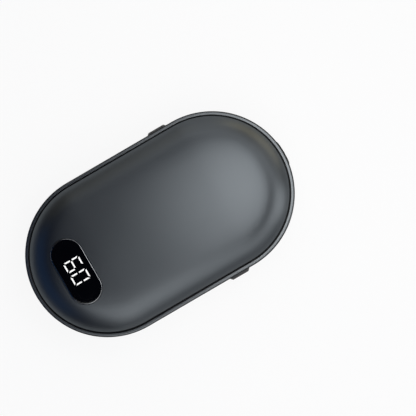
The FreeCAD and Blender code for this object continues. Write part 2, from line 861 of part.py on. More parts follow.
def make_cradle():
    """Tray that holds the cells in two troughs and is screwed up against the frame's bosses."""
    cradle = new_body("BatteryCradle")
    place(cradle, z="cradle_bottom")
    plan = new_sketch(cradle, "Plan")
    add_outline(plan, rectangle("cradle_near", "cradle_far", "-cradle_half", "cradle_half", "cradle_corner"))
    pad(cradle, plan, "cradle_height")
    ears = new_sketch(cradle, "Ears", level="cradle_height")
    holes = new_sketch(cradle, "EarHoles", level="cradle_height")
    for x in ("near_ear_x", "far_ear_x"):
        add_outline(ears, pill("boss_reach", "ear_radius", x, upright=True))
        for side in ("", "-"):
            add_circle(holes, x, f"{side}boss_reach", "screw_hole")
    pad(cradle, ears, "ear_thickness", back=True)
    pocket(cradle, holes, "ear_thickness")
    troughs = new_sketch(cradle, "Troughs", "YZ_Plane", "cell_near_end - cradle_room")
    for side in ("", "-"):
        add_circle(troughs, f"{side}cell_pitch / 2", "mid_level - cradle_bottom",
                   "cell_diameter / 2 + cell_clearance")
    pocket(cradle, troughs, "cell_length + 2 * cradle_room", along=True)
    keep("battery_cradle", cradle)

    cradle_bosses, board_bosses = boss_centres()
    for label, centres, seat, grip in (
        ("cradle_screws", cradle_bosses, "cradle_top - ear_thickness", "ear_thickness"),
        ("board_screws", board_bosses, "cradle_top", "board_thickness"),
    ):
        name = label.title().replace("_", "")
        screws = [screw(f"{name}{i}", x, y, seat, grip) for i, (x, y) in enumerate(centres)]
        keep(label, group(name, screws))


def make_main_board():
    """U-shaped main board: the port across the far end, an arm along each side to a switch."""
    board = new_body("MainBoard")
    place(board, z="cradle_top")
    plan = new_sketch(board, "Plan")
    corner, reach = "board_cut_corner", "board_reach"
    add_outline(
        plan,
        [
            ("arm_tip", f"-{reach}"),
            ("half_straight", f"-{reach}"),
            (f"half_straight + {reach}", "0", reach, 1),
            ("half_straight", reach, reach, 1),
            ("arm_tip", reach),
            ("arm_tip", "board_inner"),
            (f"board_cut_end - {corner}", "board_inner"),
            ("board_cut_end", f"board_inner - {corner}", corner, -1),
            ("board_cut_end", f"{corner} - board_inner"),
            (f"board_cut_end - {corner}", "-board_inner", corner, -1),
            ("arm_tip", "-board_inner"),
        ],
    )
    for x, y in boss_centres()[1]:
        add_circle(plan, x, y, "screw_hole")
    pad(board, plan, "board_thickness")
    keep("main_board", board)


def make_board_parts():
    """Parts soldered to the main board."""
    inductor = new_body("Inductor")
    place(inductor, "board_cut_end + inductor_from_cut", "inductor_offset - inductor_side / 2", "board_top")
    plan = new_sketch(inductor, "Plan")
    add_outline(plan, rectangle("0", "inductor_side", "0", "inductor_side", "inductor_corner"))
    pad(inductor, plan, "inductor_height")
    keep("inductor", inductor)
    keep("charge_chip", box(
        "ChargeChip", "charge_chip_width", "charge_chip_length", "charge_chip_height",
        "board_cut_end + charge_chip_from_cut", "-charge_chip_offset - charge_chip_length / 2",
        "board_top"))
    keep("control_chip", box(
        "ControlChip", "control_chip_side", "control_chip_side", "control_chip_height",
        "button_x + control_chip_past_button", "board_inner + chip_edge_gap", "board_top"))
    capacitors = []
    for side in ("", "-"):
        for step in range(2):
            x = f"button_x + capacitor_past_button + {step} * capacitor_pitch"
            inner = "board_inner + chip_edge_gap"
            y = inner if side == "" else f"-({inner}) - capacitor_width"
            capacitors.append(box(f"Capacitor{len(capacitors)}", "capacitor_length", "capacitor_width",
                                  "capacitor_width", x, y, "board_top"))
    keep("board_capacitors", group("BoardCapacitors", capacitors))


def make_ribbon():
    """Ribbon from the main board to the display board, and the socket at each end."""
    display_face = "window_x + display_board_far - socket_edge_gap"
    keep("board_connector", box(
        "BoardConnector", "socket_length", "socket_width", "socket_height",
        "arm_tip + socket_edge_gap", "socket_y", "board_top"))
    keep("display_connector", box(
        "DisplayConnector", "socket_length", "socket_width", "socket_height",
        f"{display_face} - socket_length", "socket_y",
        "display_board_top - display_board_thickness - socket_height"))

    start = Vector(value("arm_tip + socket_edge_gap"), 0, value("board_top + socket_height / 2"))
    end = Vector(value(display_face), 0,
                 value("display_board_top - display_board_thickness - socket_height / 2"))
    bend, half = value("ribbon_bend"), value("ribbon_thickness") / 2
    rise = end.z - start.z
    swing = math.acos(1 - rise / (2 * bend))
    second = Vector(end.x + value("ribbon_run_out"), 0, end.z)
    first = Vector(second.x + 2 * bend * math.sin(swing), 0, start.z)
    up = Vector(0, 0, 1)
    low_centre, high_centre = first + up * bend, second - up * bend
    lean = Vector(-math.sin(swing), 0, -math.cos(swing))
    lean_half = Vector(-math.sin(swing / 2), 0, -math.cos(swing / 2))

    def edge_line(side):
        """One long edge of the ribbon seen from the side: two runs joined by two arcs."""
        shift = up * (side * half)
        low_r, high_r = bend - side * half, bend + side * half
        middle = low_centre + lean * low_r
        bends = [
            Part.Arc(first + shift, low_centre + lean_half * low_r, middle).toShape(),
            Part.Arc(middle, high_centre - lean_half * high_r, second + shift).toShape(),
        ]
        runs = [
            Part.makeLine(start + shift, first + shift),
            Part.makeLine(second + shift, end + shift),
        ]
        return [runs[0], bends[0], bends[1], runs[1]]

    upper, lower = edge_line(1), edge_line(-1)
    caps = [
        Part.makeLine(start + up * half, start - up * half),
        Part.makeLine(end + up * half, end - up * half),
    ]
    face = Part.Face(Part.Wire(Part.__sortEdges__(upper + lower + caps)))
    ribbon = doc.addObject("Part::Feature", "DisplayRibbon")
    ribbon.Shape = face.extrude(Vector(0, value("ribbon_width"), 0))
    place(ribbon, y="ribbon_y - ribbon_width / 2")
    keep("display_ribbon", ribbon)


def film_outline(radius, full):
    """Heated area: the whole plateau, or only the part over the cells where the display is."""
    if full:
        return pill("half_straight", radius)
    return [
        ("cell_near_end", f"-({radius})"),
        ("half_straight", f"-({radius})"),
        (f"half_straight + {radius}", "0", radius, 1),
        ("half_straight", radius, radius, 1),
        ("cell_near_end", radius),
    ]


def make_heaters():
    """On each cover a heater film with a tail to the board, a foam layer and a sensor."""
    front = ("front", "body_thickness - cover_wall", 0, "body_thickness - cover_wall - board_top", False)
    rear = ("rear", "cover_wall", 180, "cradle_top - cover_wall", True)
    for side, level, angle, reach, full in (front, rear):
        film = new_body(side.title() + "Heater")
        place(film, z=level, axis=Vector(1, 0, 0), angle=angle)
        plan = new_sketch(film, "Plan")
        add_outline(plan, film_outline("heater_radius", full))
        pad(film, plan, "heater_thickness", back=True)
        tail = new_sketch(film, "Tail", "XZ_Plane")
        add_outline(
            tail,
            [
                ("notch_x", "0"),
                ("notch_x", "-heater_thickness"),
                ("tail_bend_x", "-heater_thickness"),
                ("tail_x", "-tail_bend", "tail_bend - heater_thickness", -1),
                ("tail_x", f"-({reach})"),
                ("tail_outer", f"-({reach})"),
                ("tail_outer", "-tail_bend"),
                ("tail_bend_x", "0", "tail_bend", 1),
            ],
        )
        pad(film, tail, "tail_width", both_ways=True)
        keep(f"{side}_heater", film)

        foam = new_body(side.title() + "Insulation")
        place(foam, z=level, axis=Vector(1, 0, 0), angle=angle)
        layer = new_sketch(foam, "Layer", level="-heater_thickness")
        add_outline(layer, film_outline("foam_radius", full))
        add_circle(layer, "0", "0", "sensor_hole_radius")
        pad(foam, layer, "foam_thickness", back=True)
        notch = new_sketch(foam, "Notch", level="-heater_thickness")
        half_notch = "(tail_width / 2 + tail_gap)"
        add_outline(notch, rectangle("notch_x", "foam_far", f"-{half_notch}", half_notch))
        pocket(foam, notch, "foam_thickness")
        keep(f"{side}_insulation", foam)

        lower = f"{level} - heater_thickness - sensor_height" if angle == 0 else f"{level} + heater_thickness"
        keep(f"{side}_thermistor", box(side.title() + "Thermistor", "sensor_length", "sensor_width",
                                       "sensor_height", "-sensor_length / 2", "-sensor_width / 2", lower))


def make_port():
    """Charging port: bezel in the frame, steel shell, insulator with its tongue, and contacts."""
    bezel = new_body("PortBezel")
    place(bezel, "half_length + bezel_proud", z="port_level")
    ring = new_sketch(bezel, "Ring", "YZ_Plane")
    add_outline(ring, pill("usb_half", "bezel_outer"))
    add_outline(ring, pill("usb_half", "bezel_inner"))
    pad(bezel, ring, "bezel_proud + frame_wall + rib_depth", back=True)
    bevel_face(bezel, Vector(1, 0, 0), "bezel_bevel")
    keep("port_bezel", bezel)

    shell = new_body("UsbShell")
    place(shell, "usb_front", z="port_level")
    outer = new_sketch(shell, "Outer", "YZ_Plane")
    add_outline(outer, pill("usb_half", "usb_height / 2"))
    pad(shell, outer, "usb_length", back=True)
    inner = new_sketch(shell, "Inner", "YZ_Plane")
    add_outline(inner, pill("usb_half", "usb_height / 2 - usb_wall"))
    pocket(shell, inner, "usb_length - usb_wall")
    keep("usb_shell", shell)

    insulator = new_body("UsbInsulator")
    place(insulator, "usb_front - usb_length + usb_wall", z="port_level")
    base = new_sketch(insulator, "Base", "YZ_Plane")
    add_outline(base, pill("usb_half", "usb_height / 2 - usb_wall - usb_fit"))
    pad(insulator, base, "usb_base_length")
    tongue = new_sketch(insulator, "Tongue", "YZ_Plane")
    half_y, half_z = "tongue_width / 2", "tongue_thickness / 2"
    add_outline(tongue, rectangle(f"-{half_y}", half_y, f"-{half_z}", half_z))
    pad(insulator, tongue, "usb_base_length + tongue_length")
    keep("usb_insulator", insulator)

    start = "usb_front - usb_length + usb_wall + usb_base_length"
    contacts = []
    upper = "port_level + tongue_thickness / 2"
    lower = "port_level - tongue_thickness / 2 - contact_thickness"
    for face in (upper, lower):
        for step in range(6):
            middle = f"({step} - 2.5) * contact_pitch"
            contacts.append(box(f"Contact{len(contacts)}", "contact_length", "contact_width",
                                "contact_thickness", start, f"{middle} - contact_width / 2", face))
    keep("usb_contacts", group("UsbContacts", contacts))


def make_button(prefix, angle):
    """Push button of one side: cap with its flange, switch body and switch plunger.

    Each piece is drawn with the button facing along Y and then turned to its side.
    """
    def set_side(item):
        """Put a piece at the button's middle, facing its side of the body."""
        place(item, "button_x", z="button_level", axis=Vector(0, 0, 1), angle=angle)

    half = "(button_length - button_height) / 2"
    name = prefix.title()
    cap = new_body(name + "Button")
    set_side(cap)
    front = new_sketch(cap, "Front", "XZ_Plane", "-(end_radius + button_proud)")
    add_outline(front, pill(half, "button_height / 2"))
    pad(cap, front, "end_radius + button_proud - flange_face")
    bevel_face(cap, Vector(0, 1, 0), "button_bevel")
    flange = new_sketch(cap, "Flange", "XZ_Plane", "-flange_face")
    add_outline(flange, pill(half, "button_height / 2 + flange_lip"))
    pad(cap, flange, "flange_thickness")
    post = new_sketch(cap, "Post", "XZ_Plane", "flange_thickness - flange_face")
    half_x, half_z = "plunger_length / 2", "plunger_height / 2"
    add_outline(post, rectangle(f"-{half_x}", half_x, f"-{half_z}", half_z))
    pad(cap, post, "post_length")
    keep(f"{prefix}_button", cap)

    body = new_body(name + "SwitchBody")
    set_side(body)
    case = new_sketch(body, "Case", "XZ_Plane", "-switch_face")
    case_x, case_z = "switch_length / 2", "switch_height / 2"
    add_outline(case, rectangle(f"-{case_x}", case_x, f"-{case_z}", case_z))
    pad(body, case, "switch_depth")
    well = new_sketch(body, "Well", "XZ_Plane", "-switch_face")
    well_x, well_z = f"({half_x} + plunger_gap)", f"({half_z} + plunger_gap)"
    add_outline(well, rectangle(f"-{well_x}", well_x, f"-{well_z}", well_z))
    pocket(body, well, "plunger_inside + button_travel + plunger_spare", along=True)
    keep(f"{prefix}_switch_body", body)

    plunger = new_body(name + "SwitchPlunger")
    set_side(plunger)
    stem = new_sketch(plunger, "Stem", "XZ_Plane", "-post_tip")
    add_outline(stem, rectangle(f"-{half_x}", half_x, f"-{half_z}", half_z))
    pad(plunger, stem, "plunger_proud + plunger_inside")
    keep(f"{prefix}_switch_plunger", plunger)


def check_and_export():
    """Stop on any failed object or bad shape, then write each sub-part to its file."""
    doc.recompute()
    failed = [item.Name for item in doc.Objects if {"Invalid", "Error"} & set(item.State)]
    bad = [label for label, item in parts.items() if item.Shape.isNull() or not item.Shape.isValid()]
    if failed or bad:
        raise RuntimeError(f"failed objects {failed}, bad shapes {bad}")
    os.makedirs("parts", exist_ok=True)
    for label, item in parts.items():
        item.Shape.exportStep(f"parts/{label}.step")
        print(f"{label}: {len(item.Shape.Solids)} solids, {item.Shape.Volume:.1f} mm3")


fill_sheet()
make_covers()
make_frame()
make_seals()
make_window()
make_display()
make_cells()
make_cradle()
make_main_board()
make_board_parts()
make_ribbon()
make_heaters()
make_port()
make_button("power", 0)
make_button("mode", 180)
check_and_export()
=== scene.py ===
"""Looks of the rechargeable hand warmer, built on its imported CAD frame.

Lengths are in metres, in the CAD's own frame: X runs along the body towards the charging port,
Z out of the front face, and the origin is the middle of the rear face, which lies on the floor.
"""

import json
import logging
import math
from collections.abc import Iterable, Mapping, Sequence
from dataclasses import dataclass, field
from enum import Enum
from typing import Any, ClassVar

import bmesh
import bpy
from mathutils import Matrix, Vector


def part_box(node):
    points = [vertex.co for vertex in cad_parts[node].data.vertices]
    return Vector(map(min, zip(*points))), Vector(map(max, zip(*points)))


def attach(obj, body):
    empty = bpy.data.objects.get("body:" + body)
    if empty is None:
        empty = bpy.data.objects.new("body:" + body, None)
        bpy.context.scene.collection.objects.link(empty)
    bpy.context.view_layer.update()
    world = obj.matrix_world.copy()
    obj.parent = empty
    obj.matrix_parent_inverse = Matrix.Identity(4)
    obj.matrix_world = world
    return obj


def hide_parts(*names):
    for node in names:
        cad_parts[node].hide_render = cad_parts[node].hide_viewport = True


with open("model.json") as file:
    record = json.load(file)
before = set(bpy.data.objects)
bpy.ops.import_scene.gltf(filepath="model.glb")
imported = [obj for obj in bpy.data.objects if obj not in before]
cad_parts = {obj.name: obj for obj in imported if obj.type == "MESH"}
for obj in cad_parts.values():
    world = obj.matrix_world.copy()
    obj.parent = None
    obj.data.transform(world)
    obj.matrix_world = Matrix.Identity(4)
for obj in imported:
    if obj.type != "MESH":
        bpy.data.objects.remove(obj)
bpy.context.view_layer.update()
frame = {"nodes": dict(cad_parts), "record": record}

LOG = logging.getLogger("hand_warmer")
HOUSING = "housing"
FRAME_LOW, FRAME_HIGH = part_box("mid_frame")
ORIGIN = (0.0, 0.0, 0.0)
RIGHT_ANGLE = 90.0
HALF_RIGHT_ANGLE = 45.0

# Points that lie nearer to each other than this are one
MERGE = 1e-7

Colour = tuple[float, float, float]


class Facing(Enum):
    """Ways that a piece drawn flat is turned; each value is a rotation, row by row."""

    FRONT = ((1, 0, 0), (0, 1, 0), (0, 0, 1))
    FRONT_CROSSWISE = ((0, -1, 0), (1, 0, 0), (0, 0, 1))
    REAR = ((1, 0, 0), (0, -1, 0), (0, 0, -1))
    LEFT = ((1, 0, 0), (0, 0, 1), (0, -1, 0))
    RIGHT = ((1, 0, 0), (0, 0, -1), (0, 1, 0))
    PORT_END = ((0, 0, 1), (1, 0, 0), (0, 1, 0))

    def matrix(self) -> Matrix:
        """Rotation as a 4x4 matrix."""
        return Matrix(self.value).to_4x4()


class Axis(Enum):
    """Directions of the CAD frame that a pattern can follow."""

    ALONG = "X"
    ACROSS = "Y"
    UP = "Z"


class Field:
    """Number that varies over a surface: a node's output, with Math nodes behind its operators."""

    def __init__(self, bench: "Bench", socket: bpy.types.NodeSocket) -> None:
        """Wrap an output.

        Args:
            bench: Node tree that the output is in.
            socket: The output itself.
        """
        self.bench = bench
        self.socket = socket

    def _math(self, operation: str, *operands: Any) -> "Field":
        """Add a Math node on some operands.

        Args:
            operation: Name of the Math node's operation.
            operands: Numbers or fields, in the node's order.

        Returns:
            The node's result.
        """
        return self.bench.node(
            "ShaderNodeMath", {"operation": operation}, dict(enumerate(operands))
        )

    def __add__(self, other: Any) -> "Field":
        """Sum with a number or field."""
        return self._math("ADD", self, other)

    __radd__ = __add__

    def __sub__(self, other: Any) -> "Field":
        """Difference from a number or field."""
        return self._math("SUBTRACT", self, other)

    def __rsub__(self, other: Any) -> "Field":
        """Number less this field."""
        return self._math("SUBTRACT", other, self)

    def __mul__(self, other: Any) -> "Field":
        """Product with a number or field."""
        return self._math("MULTIPLY", self, other)

    __rmul__ = __mul__

    def __truediv__(self, other: Any) -> "Field":
        """Quotient by a number or field."""
        return self._math("DIVIDE", self, other)

    def __rtruediv__(self, other: Any) -> "Field":
        """Number divided by this field."""
        return self._math("DIVIDE", other, self)

    def __abs__(self) -> "Field":
        """Size without sign."""
        return self._math("ABSOLUTE", self)

    def fraction(self) -> "Field":
        """What is left after the whole number below."""
        return self._math("FRACT", self)

    def root(self) -> "Field":
        """Square root."""
        return self._math("SQRT", self)

    def at_least(self, low: float) -> "Field":
        """This field where it is over a number, and the number elsewhere."""
        return self._math("MAXIMUM", self, low)

    def step(self, low: float, high: float) -> "Field":
        """Smooth step.

        Args:
            low: Value at which the step starts, as 0.
            high: Value at which it ends, as 1.

        Returns:
            The step, from 0 to 1.
        """
        return self.bench.node(
            "ShaderNodeMapRange",
            {"interpolation_type": "SMOOTHSTEP"},
            {"Value": self, "From Min": low, "From Max": high},
        )


class Bench:
    """Node tree of a material or of the world, with one method that adds nodes.

    A Mix node has sockets of the same names for numbers, vectors and colours, so those for colours
    are told apart by their numbers.
    """

    MIX_FACTOR: ClassVar[int] = 0
    MIX_FIRST: ClassVar[int] = 6
    MIX_SECOND: ClassVar[int] = 7
    MIX_RESULT: ClassVar[int] = 2

    def __init__(self, tree: bpy.types.NodeTree) -> None:
        """Start from an empty tree.

        Args:
            tree: The tree, whose nodes are cleared.
        """
        self.tree = tree
        self.tree.nodes.clear()

    def node(
        self,
        kind: str,
        settings: Mapping[str, Any] | None = None,
        inputs: Mapping[str | int, Any] | None = None,
        output: str | int = 0,
    ) -> Field:
        """Add a node.

        Args:
            kind: Type name of the node.
            settings: Properties, which are set before the sockets.
            inputs: Values or fields for the node's sockets, by name or number.
            output: Name or number of the output that is returned.

        Returns:
            The chosen output.
        """
        made = self.tree.nodes.new(kind)
        for name, setting in (settings or {}).items():
            setattr(made, name, setting)
        for name, content in (inputs or {}).items():
            socket = made.inputs[name]
            if isinstance(content, Field):
                self.tree.links.new(content.socket, socket)
            else:
                socket.default_value = content
        return Field(self, made.outputs[output])

    def show(self, kind: str, shader: Field) -> None:
        """Join a shader to the tree's output.

        Args:
            kind: Type name of the output node.
            shader: Shader that is shown.
        """
        shown = self.tree.nodes.new(kind)
        self.tree.links.new(shader.socket, shown.inputs["Surface"])

    def place(self) -> Field:
        """Position on the piece, in the CAD's frame."""
        return self.node("ShaderNodeTexCoord", output="Object")

    def part(self, place: Field, axis: Axis) -> Field:
        """One coordinate of a position.

        Args:
            place: Position on the piece.
            axis: Direction to read.

        Returns:
            The coordinate in metres.
        """
        return self.node("ShaderNodeSeparateXYZ", inputs={0: place}, output=axis.value)

    def level(self, place: Field, half: float, radius: float) -> Field:
        """Height with the fall of a crowned oval added back.

        Args:
            place: Position on the piece.
            half: Half of the oval's straight length.
            radius: Radius of the crown.

        Returns:
            The height in metres, the same all over a surface that follows the crown.
        """
        past = (abs(self.part(place, Axis.ALONG)) - half).at_least(0.0)
        across = self.part(place, Axis.ACROSS)
        return self.part(place, Axis.UP) + (past * past + across * across) * (0.5 / radius)

    def noise(self, place: Field, size: float, detail: float = 2.0) -> Field:
        """Soft noise.

        Args:
            place: Position on the piece, stretched or not.
            size: Size of a patch in metres.
            detail: Number of finer layers.

        Returns:
            The noise, about 0.5 in the middle.
        """
        return self.node(
            "ShaderNodeTexNoise",
            inputs={"Vector": place, "Scale": 1 / size, "Detail": detail},
            output="Fac",
        )

    def blend(self, factor: Any, low: Any, high: Any) -> Field:
        """Mix two colours.

        Args:
            factor: Share of the second colour.
            low: First colour, as three numbers or a field.
            high: Second colour, as three numbers or a field.

        Returns:
            The mixed colour.
        """
        first, second = (c if isinstance(c, Field) else (*c, 1.0) for c in (low, high))
        return self.node(
            "ShaderNodeMix",
            {"data_type": "RGBA"},
            {self.MIX_FACTOR: factor, self.MIX_FIRST: first, self.MIX_SECOND: second},
            self.MIX_RESULT,
        )


def shade(colour: Colour, share: float) -> Colour:
    """Lighten or darken a colour.

    Args:
        colour: Linear colour.
        share: Factor on its lightness.

    Returns:
        The changed colour.
    """
    red, green, blue = (min(1.0, part * share) for part in colour)
    return red, green, blue


@dataclass(frozen=True)
class Finish:
    """Surface of one material slot: a colour that drifts a little, under a fine grain."""

    slot: str
    colour: Colour
    roughness: float = 0.5
    metallic: float = 0.0
    drift: float = 0.08
    drift_size: float = 0.006
    roughness_spread: float = 0.06
    grain_size: float = 0.00025
    grain_depth: float = 0.00002
    grain_strength: float = 0.2
    specular: float = 0.5
    edge_tint: float = 1.0
    made: ClassVar[dict[str, bpy.types.Material]] = {}

    def tint(self, bench: Bench, place: Field, drift: Field) -> Field:
        """Base colour over the surface.

        Args:
            bench: Node tree of the material.
            place: Position on the piece.
            drift: Slow noise that the colour follows.

        Returns:
            The colour.
        """
        return bench.blend(
            drift, shade(self.colour, 1 - self.drift), shade(self.colour, 1 + self.drift)
        )

    def relief(self, bench: Bench, place: Field) -> Field:
        """Height of the fine grain over the surface."""
        return bench.noise(place, self.grain_size)

    def extras(self, bench: Bench, place: Field) -> dict[str, Any]:
        """Further shader inputs of a finish that has them."""
        return {}

    def material(self) -> bpy.types.Material:
        """Material of this finish, built once.

        Returns:
            The material, named for its slot.
        """
        if self.slot not in self.made:
            self.made[self.slot] = self._build()
        return self.made[self.slot]

    def _build(self) -> bpy.types.Material:
        """Lay out the nodes of the material.

        Returns:
            The new material.
        """
        material = bpy.data.materials.new(self.slot)
        material.use_nodes = True
        bench = Bench(material.node_tree)
        place = bench.place()
        drift = bench.noise(place, self.drift_size, detail=3.0)
        bump = bench.node(
            "ShaderNodeBump",
            inputs={
                "Strength": self.grain_strength,
                "Distance": self.grain_depth,
                "Height": self.relief(bench, place),
            },
        )
        shader = bench.node(
            "ShaderNodeBsdfPrincipled",
            inputs={
                "Base Color": self.tint(bench, place, drift),
                "Roughness": self.roughness + self.roughness_spread * (2 * drift - 1),
                "Metallic": self.metallic,
                "Specular IOR Level": self.specular,
                "Specular Tint": (self.edge_tint, self.edge_tint, self.edge_tint, 1.0),
                "Normal": bump,
                **self.extras(bench, place),
            },
        )
        bench.show("ShaderNodeOutputMaterial", shader)
        return material


@dataclass(frozen=True)
class StripedFinish(Finish):
    """Finish with straight lines of a second colour, such as traces, conductors or bands."""

    second: Colour = (0.5, 0.5, 0.5)
    pitch: float = 0.001
    share: float = 0.5
    blur: float = 0.08
    axis: Axis = Axis.ACROSS

    def line(self, bench: Bench, place: Field) -> Field:
        """Where the lines of the second colour are.

        Args:
            bench: Node tree of the material.
            place: Position on the piece.

        Returns:
            1 on a line, 0 between lines.
        """
        across = abs((bench.part(place, self.axis) / self.pitch).fraction() - 0.5) * 2
        return 1 - across.step(self.share - self.blur, self.share + self.blur)

    def tint(self, bench: Bench, place: Field, drift: Field) -> Field:
        """Base colour with the lines laid over it."""
        ground = super().tint(bench, place, drift)
        return bench.blend(self.line(bench, place), ground, self.second)


@dataclass(frozen=True)
class RimPaintedLightFinish(Finish):
    """Wall painted dark as shade, its front and rear faces painted bright as a highlight."""

    # Colour of the painted highlight on the front and rear faces
    rim_highlight: Colour = (0.2, 0.2, 0.2)
    # Depth from the front and rear faces that the painted highlight covers
    rim_highlight_width: float = 0.0001
    fade: float = 0.00008

    def tint(self, bench: Bench, place: Field, drift: Field) -> Field:
        """Base colour, with the painted highlight over the front and rear faces.

        Args:
            bench: Node tree of the material.
            place: Position on the piece.
            drift: Slow noise that the colour follows.

        Returns:
            The colour.
        """
        # Painted highlight: faces near the top and bottom get the brighter colour, and the walls keep
        # the darker colour as painted shade
        off = abs(bench.part(place, Axis.UP) - (FRAME_LOW.z + FRAME_HIGH.z) / 2)
        start = (FRAME_HIGH.z - FRAME_LOW.z) / 2 - self.rim_highlight_width
        rim = off.step(start, start + self.fade)
        return bench.blend(rim, super().tint(bench, place, drift), self.rim_highlight)


@dataclass(frozen=True)
class BrushedFinish(Finish):
    """Bare metal with fine lines that run along one direction."""

    axis: Axis = Axis.ALONG
    stretch: float = 30.0

    def relief(self, bench: Bench, place: Field) -> Field:
        """Height of the brushed lines.

        Args:
            bench: Node tree of the material.
            place: Position on the piece.

        Returns:
            The height, from 0 to 1.
        """
        scale = [1 / self.stretch if axis is self.axis else 1.0 for axis in Axis]
        drawn = bench.node("ShaderNodeMapping", inputs={"Vector": place, "Scale": scale})
        return bench.noise(drawn, self.grain_size)


@dataclass(frozen=True)
class CellularFinish(Finish):
    """Foam or ceramic with small closed cells."""

    cell_size: float = 0.0005

    def relief(self, bench: Bench, place: Field) -> Field:
        """Height of the cells."""
        scale = 1 / self.cell_size
        return bench.node("ShaderNodeTexVoronoi", inputs={"Vector": place, "Scale": scale})


@dataclass(frozen=True)
class SmokedLens(Finish):
    """Smoked window printed black behind but for the display, its bevel painted as a highlight."""

    centre: tuple[float, float] = (0.0, 0.0)
    dome: tuple[float, float] = (0.0, 1.0)
    back_level: float = 0.0
    back_fade: float = 0.00002
    clear_half: tuple[float, float] = (0.004, 0.009)
    clear_fade: float = 0.0004
    smoke: float = 0.8
    straight_half: float = 0.007
    edge_from: float = 0.006
    edge_fade: float = 0.00004
    # Colour of the painted highlight on the bevel
    bevel_highlight_colour: Colour = (0.30, 0.31, 0.32)

    def edge(self, bench: Bench, place: Field) -> Field:
        """Where the bevel with its painted highlight is.

        Args:
            bench: Node tree of the material.
            place: Position on the piece.

        Returns:
            1 on the edge, 0 inside it.
        """
        along = bench.part(place, Axis.ALONG) - self.centre[0]
        across = abs(bench.part(place, Axis.ACROSS) - self.centre[1]) - self.straight_half
        past = across.at_least(0.0)
        out = (along * along + past * past).root()
        return out.step(self.edge_from, self.edge_from + self.edge_fade)

    def tint(self, bench: Bench, place: Field, drift: Field) -> Field:
        """Base colour, with the bevel's painted highlight over the print."""
        ground = super().tint(bench, place, drift)
        # Painted highlight: the bevel gets the bright grey colour
        return bench.blend(self.edge(bench, place), ground, self.bevel_highlight_colour)

    def extras(self, bench: Bench, place: Field) -> dict[str, Any]:
        """Opacity of the smoked front and the print behind it, and the bevel's painted highlight.

        Args:
            bench: Node tree of the material.
            place: Position on the piece.

        Returns:
            Shader inputs by name.
        """
        edge = self.edge(bench, place)
        level = bench.level(place, *self.dome)
        front = level.step(self.back_level, self.back_level + self.back_fade)
        clear: Any = 1.0
        for axis, middle, half in zip((Axis.ALONG, Axis.ACROSS), self.centre, self.clear_half):
            off = abs(bench.part(place, axis) - middle)
            clear = (1 - off.step(half - self.clear_fade, half)) * clear
        # The bevel is made opaque and metallic so that its painted highlight shines
        smoke = edge * (1 - self.smoke) + self.smoke
        return {"Alpha": front * smoke + (1 - front) * (1 - clear), "Metallic": edge}


@dataclass(frozen=True)
class GlowingFinish(Finish):
    """Light guide of the display: lit at its top, a little brighter in places, and dark below."""

    glow: float = 5.7
    dimmest: float = 0.94
    dome: tuple[float, float] = (0.0, 1.0)
    top: float = 0.0
    dark_below: float = 0.00004
    lit_above: float = 0.00002
    wall: Colour = (0.004, 0.004, 0.004)

    def lit(self, bench: Bench, place: Field) -> Field:
        """1 at the top of the guide, 0 below it."""
        level = bench.level(place, *self.dome)
        return level.step(self.top - self.dark_below, self.top - self.lit_above)

    def tint(self, bench: Bench, place: Field, drift: Field) -> Field:
        """Base colour: the dark wall, and the pale top."""
        return bench.blend(self.lit(bench, place), self.wall, super().tint(bench, place, drift))

    def extras(self, bench: Bench, place: Field) -> dict[str, Any]:
        """Light that the top gives off.

        Args:
            bench: Node tree of the material.
            place: Position on the piece.

        Returns:
            Shader inputs by name.
        """
        cloud = bench.noise(place, self.drift_size)
        colour = bench.blend(cloud, shade(self.colour, self.dimmest), self.colour)
        dark = shade(self.colour, 0.0)
        glow = bench.blend(self.lit(bench, place), dark, colour)
        return {"Emission Color": glow, "Emission Strength": self.glow}


@dataclass(frozen=True)
class Oval:
    """Straight-sided oval that a CAD node fills, with the middles of its outer and inner faces."""

    half: float
    radius: float
    depth: float
    face: Vector
    back: Vector

    @classmethod
    def of(cls, node: str, facing: Facing) -> "Oval":
        """Read an oval from a node's box.

        Args:
            node: CAD node.
            facing: Way that its outer face looks.

        Returns:
            The oval.
        """
        low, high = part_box(node)
        middle = [(start + end) / 2 for start, end in zip(low, high)]
        reach = [(end - start) / 2 for start, end in zip(low, high)]
        half_length, half_width, half_depth = (
            sum(abs(part) * size for part, size in zip(axis, reach)) for axis in zip(*facing.value)
        )
        outward = [row[2] * size for row, size in zip(facing.value, reach)]
        face = Vector([at + way for at, way in zip(middle, outward)])
        back = Vector([at - way for at, way in zip(middle, outward)])
        return cls(half_length - half_width, half_width, 2 * half_depth, face, back)

    @property
    def section(self) -> tuple[float, float]:
        """Half straight length and radius."""
        return self.half, self.radius

    @property
    def middle(self) -> Vector:
        """Middle of the node."""
        return (self.face + self.back) / 2


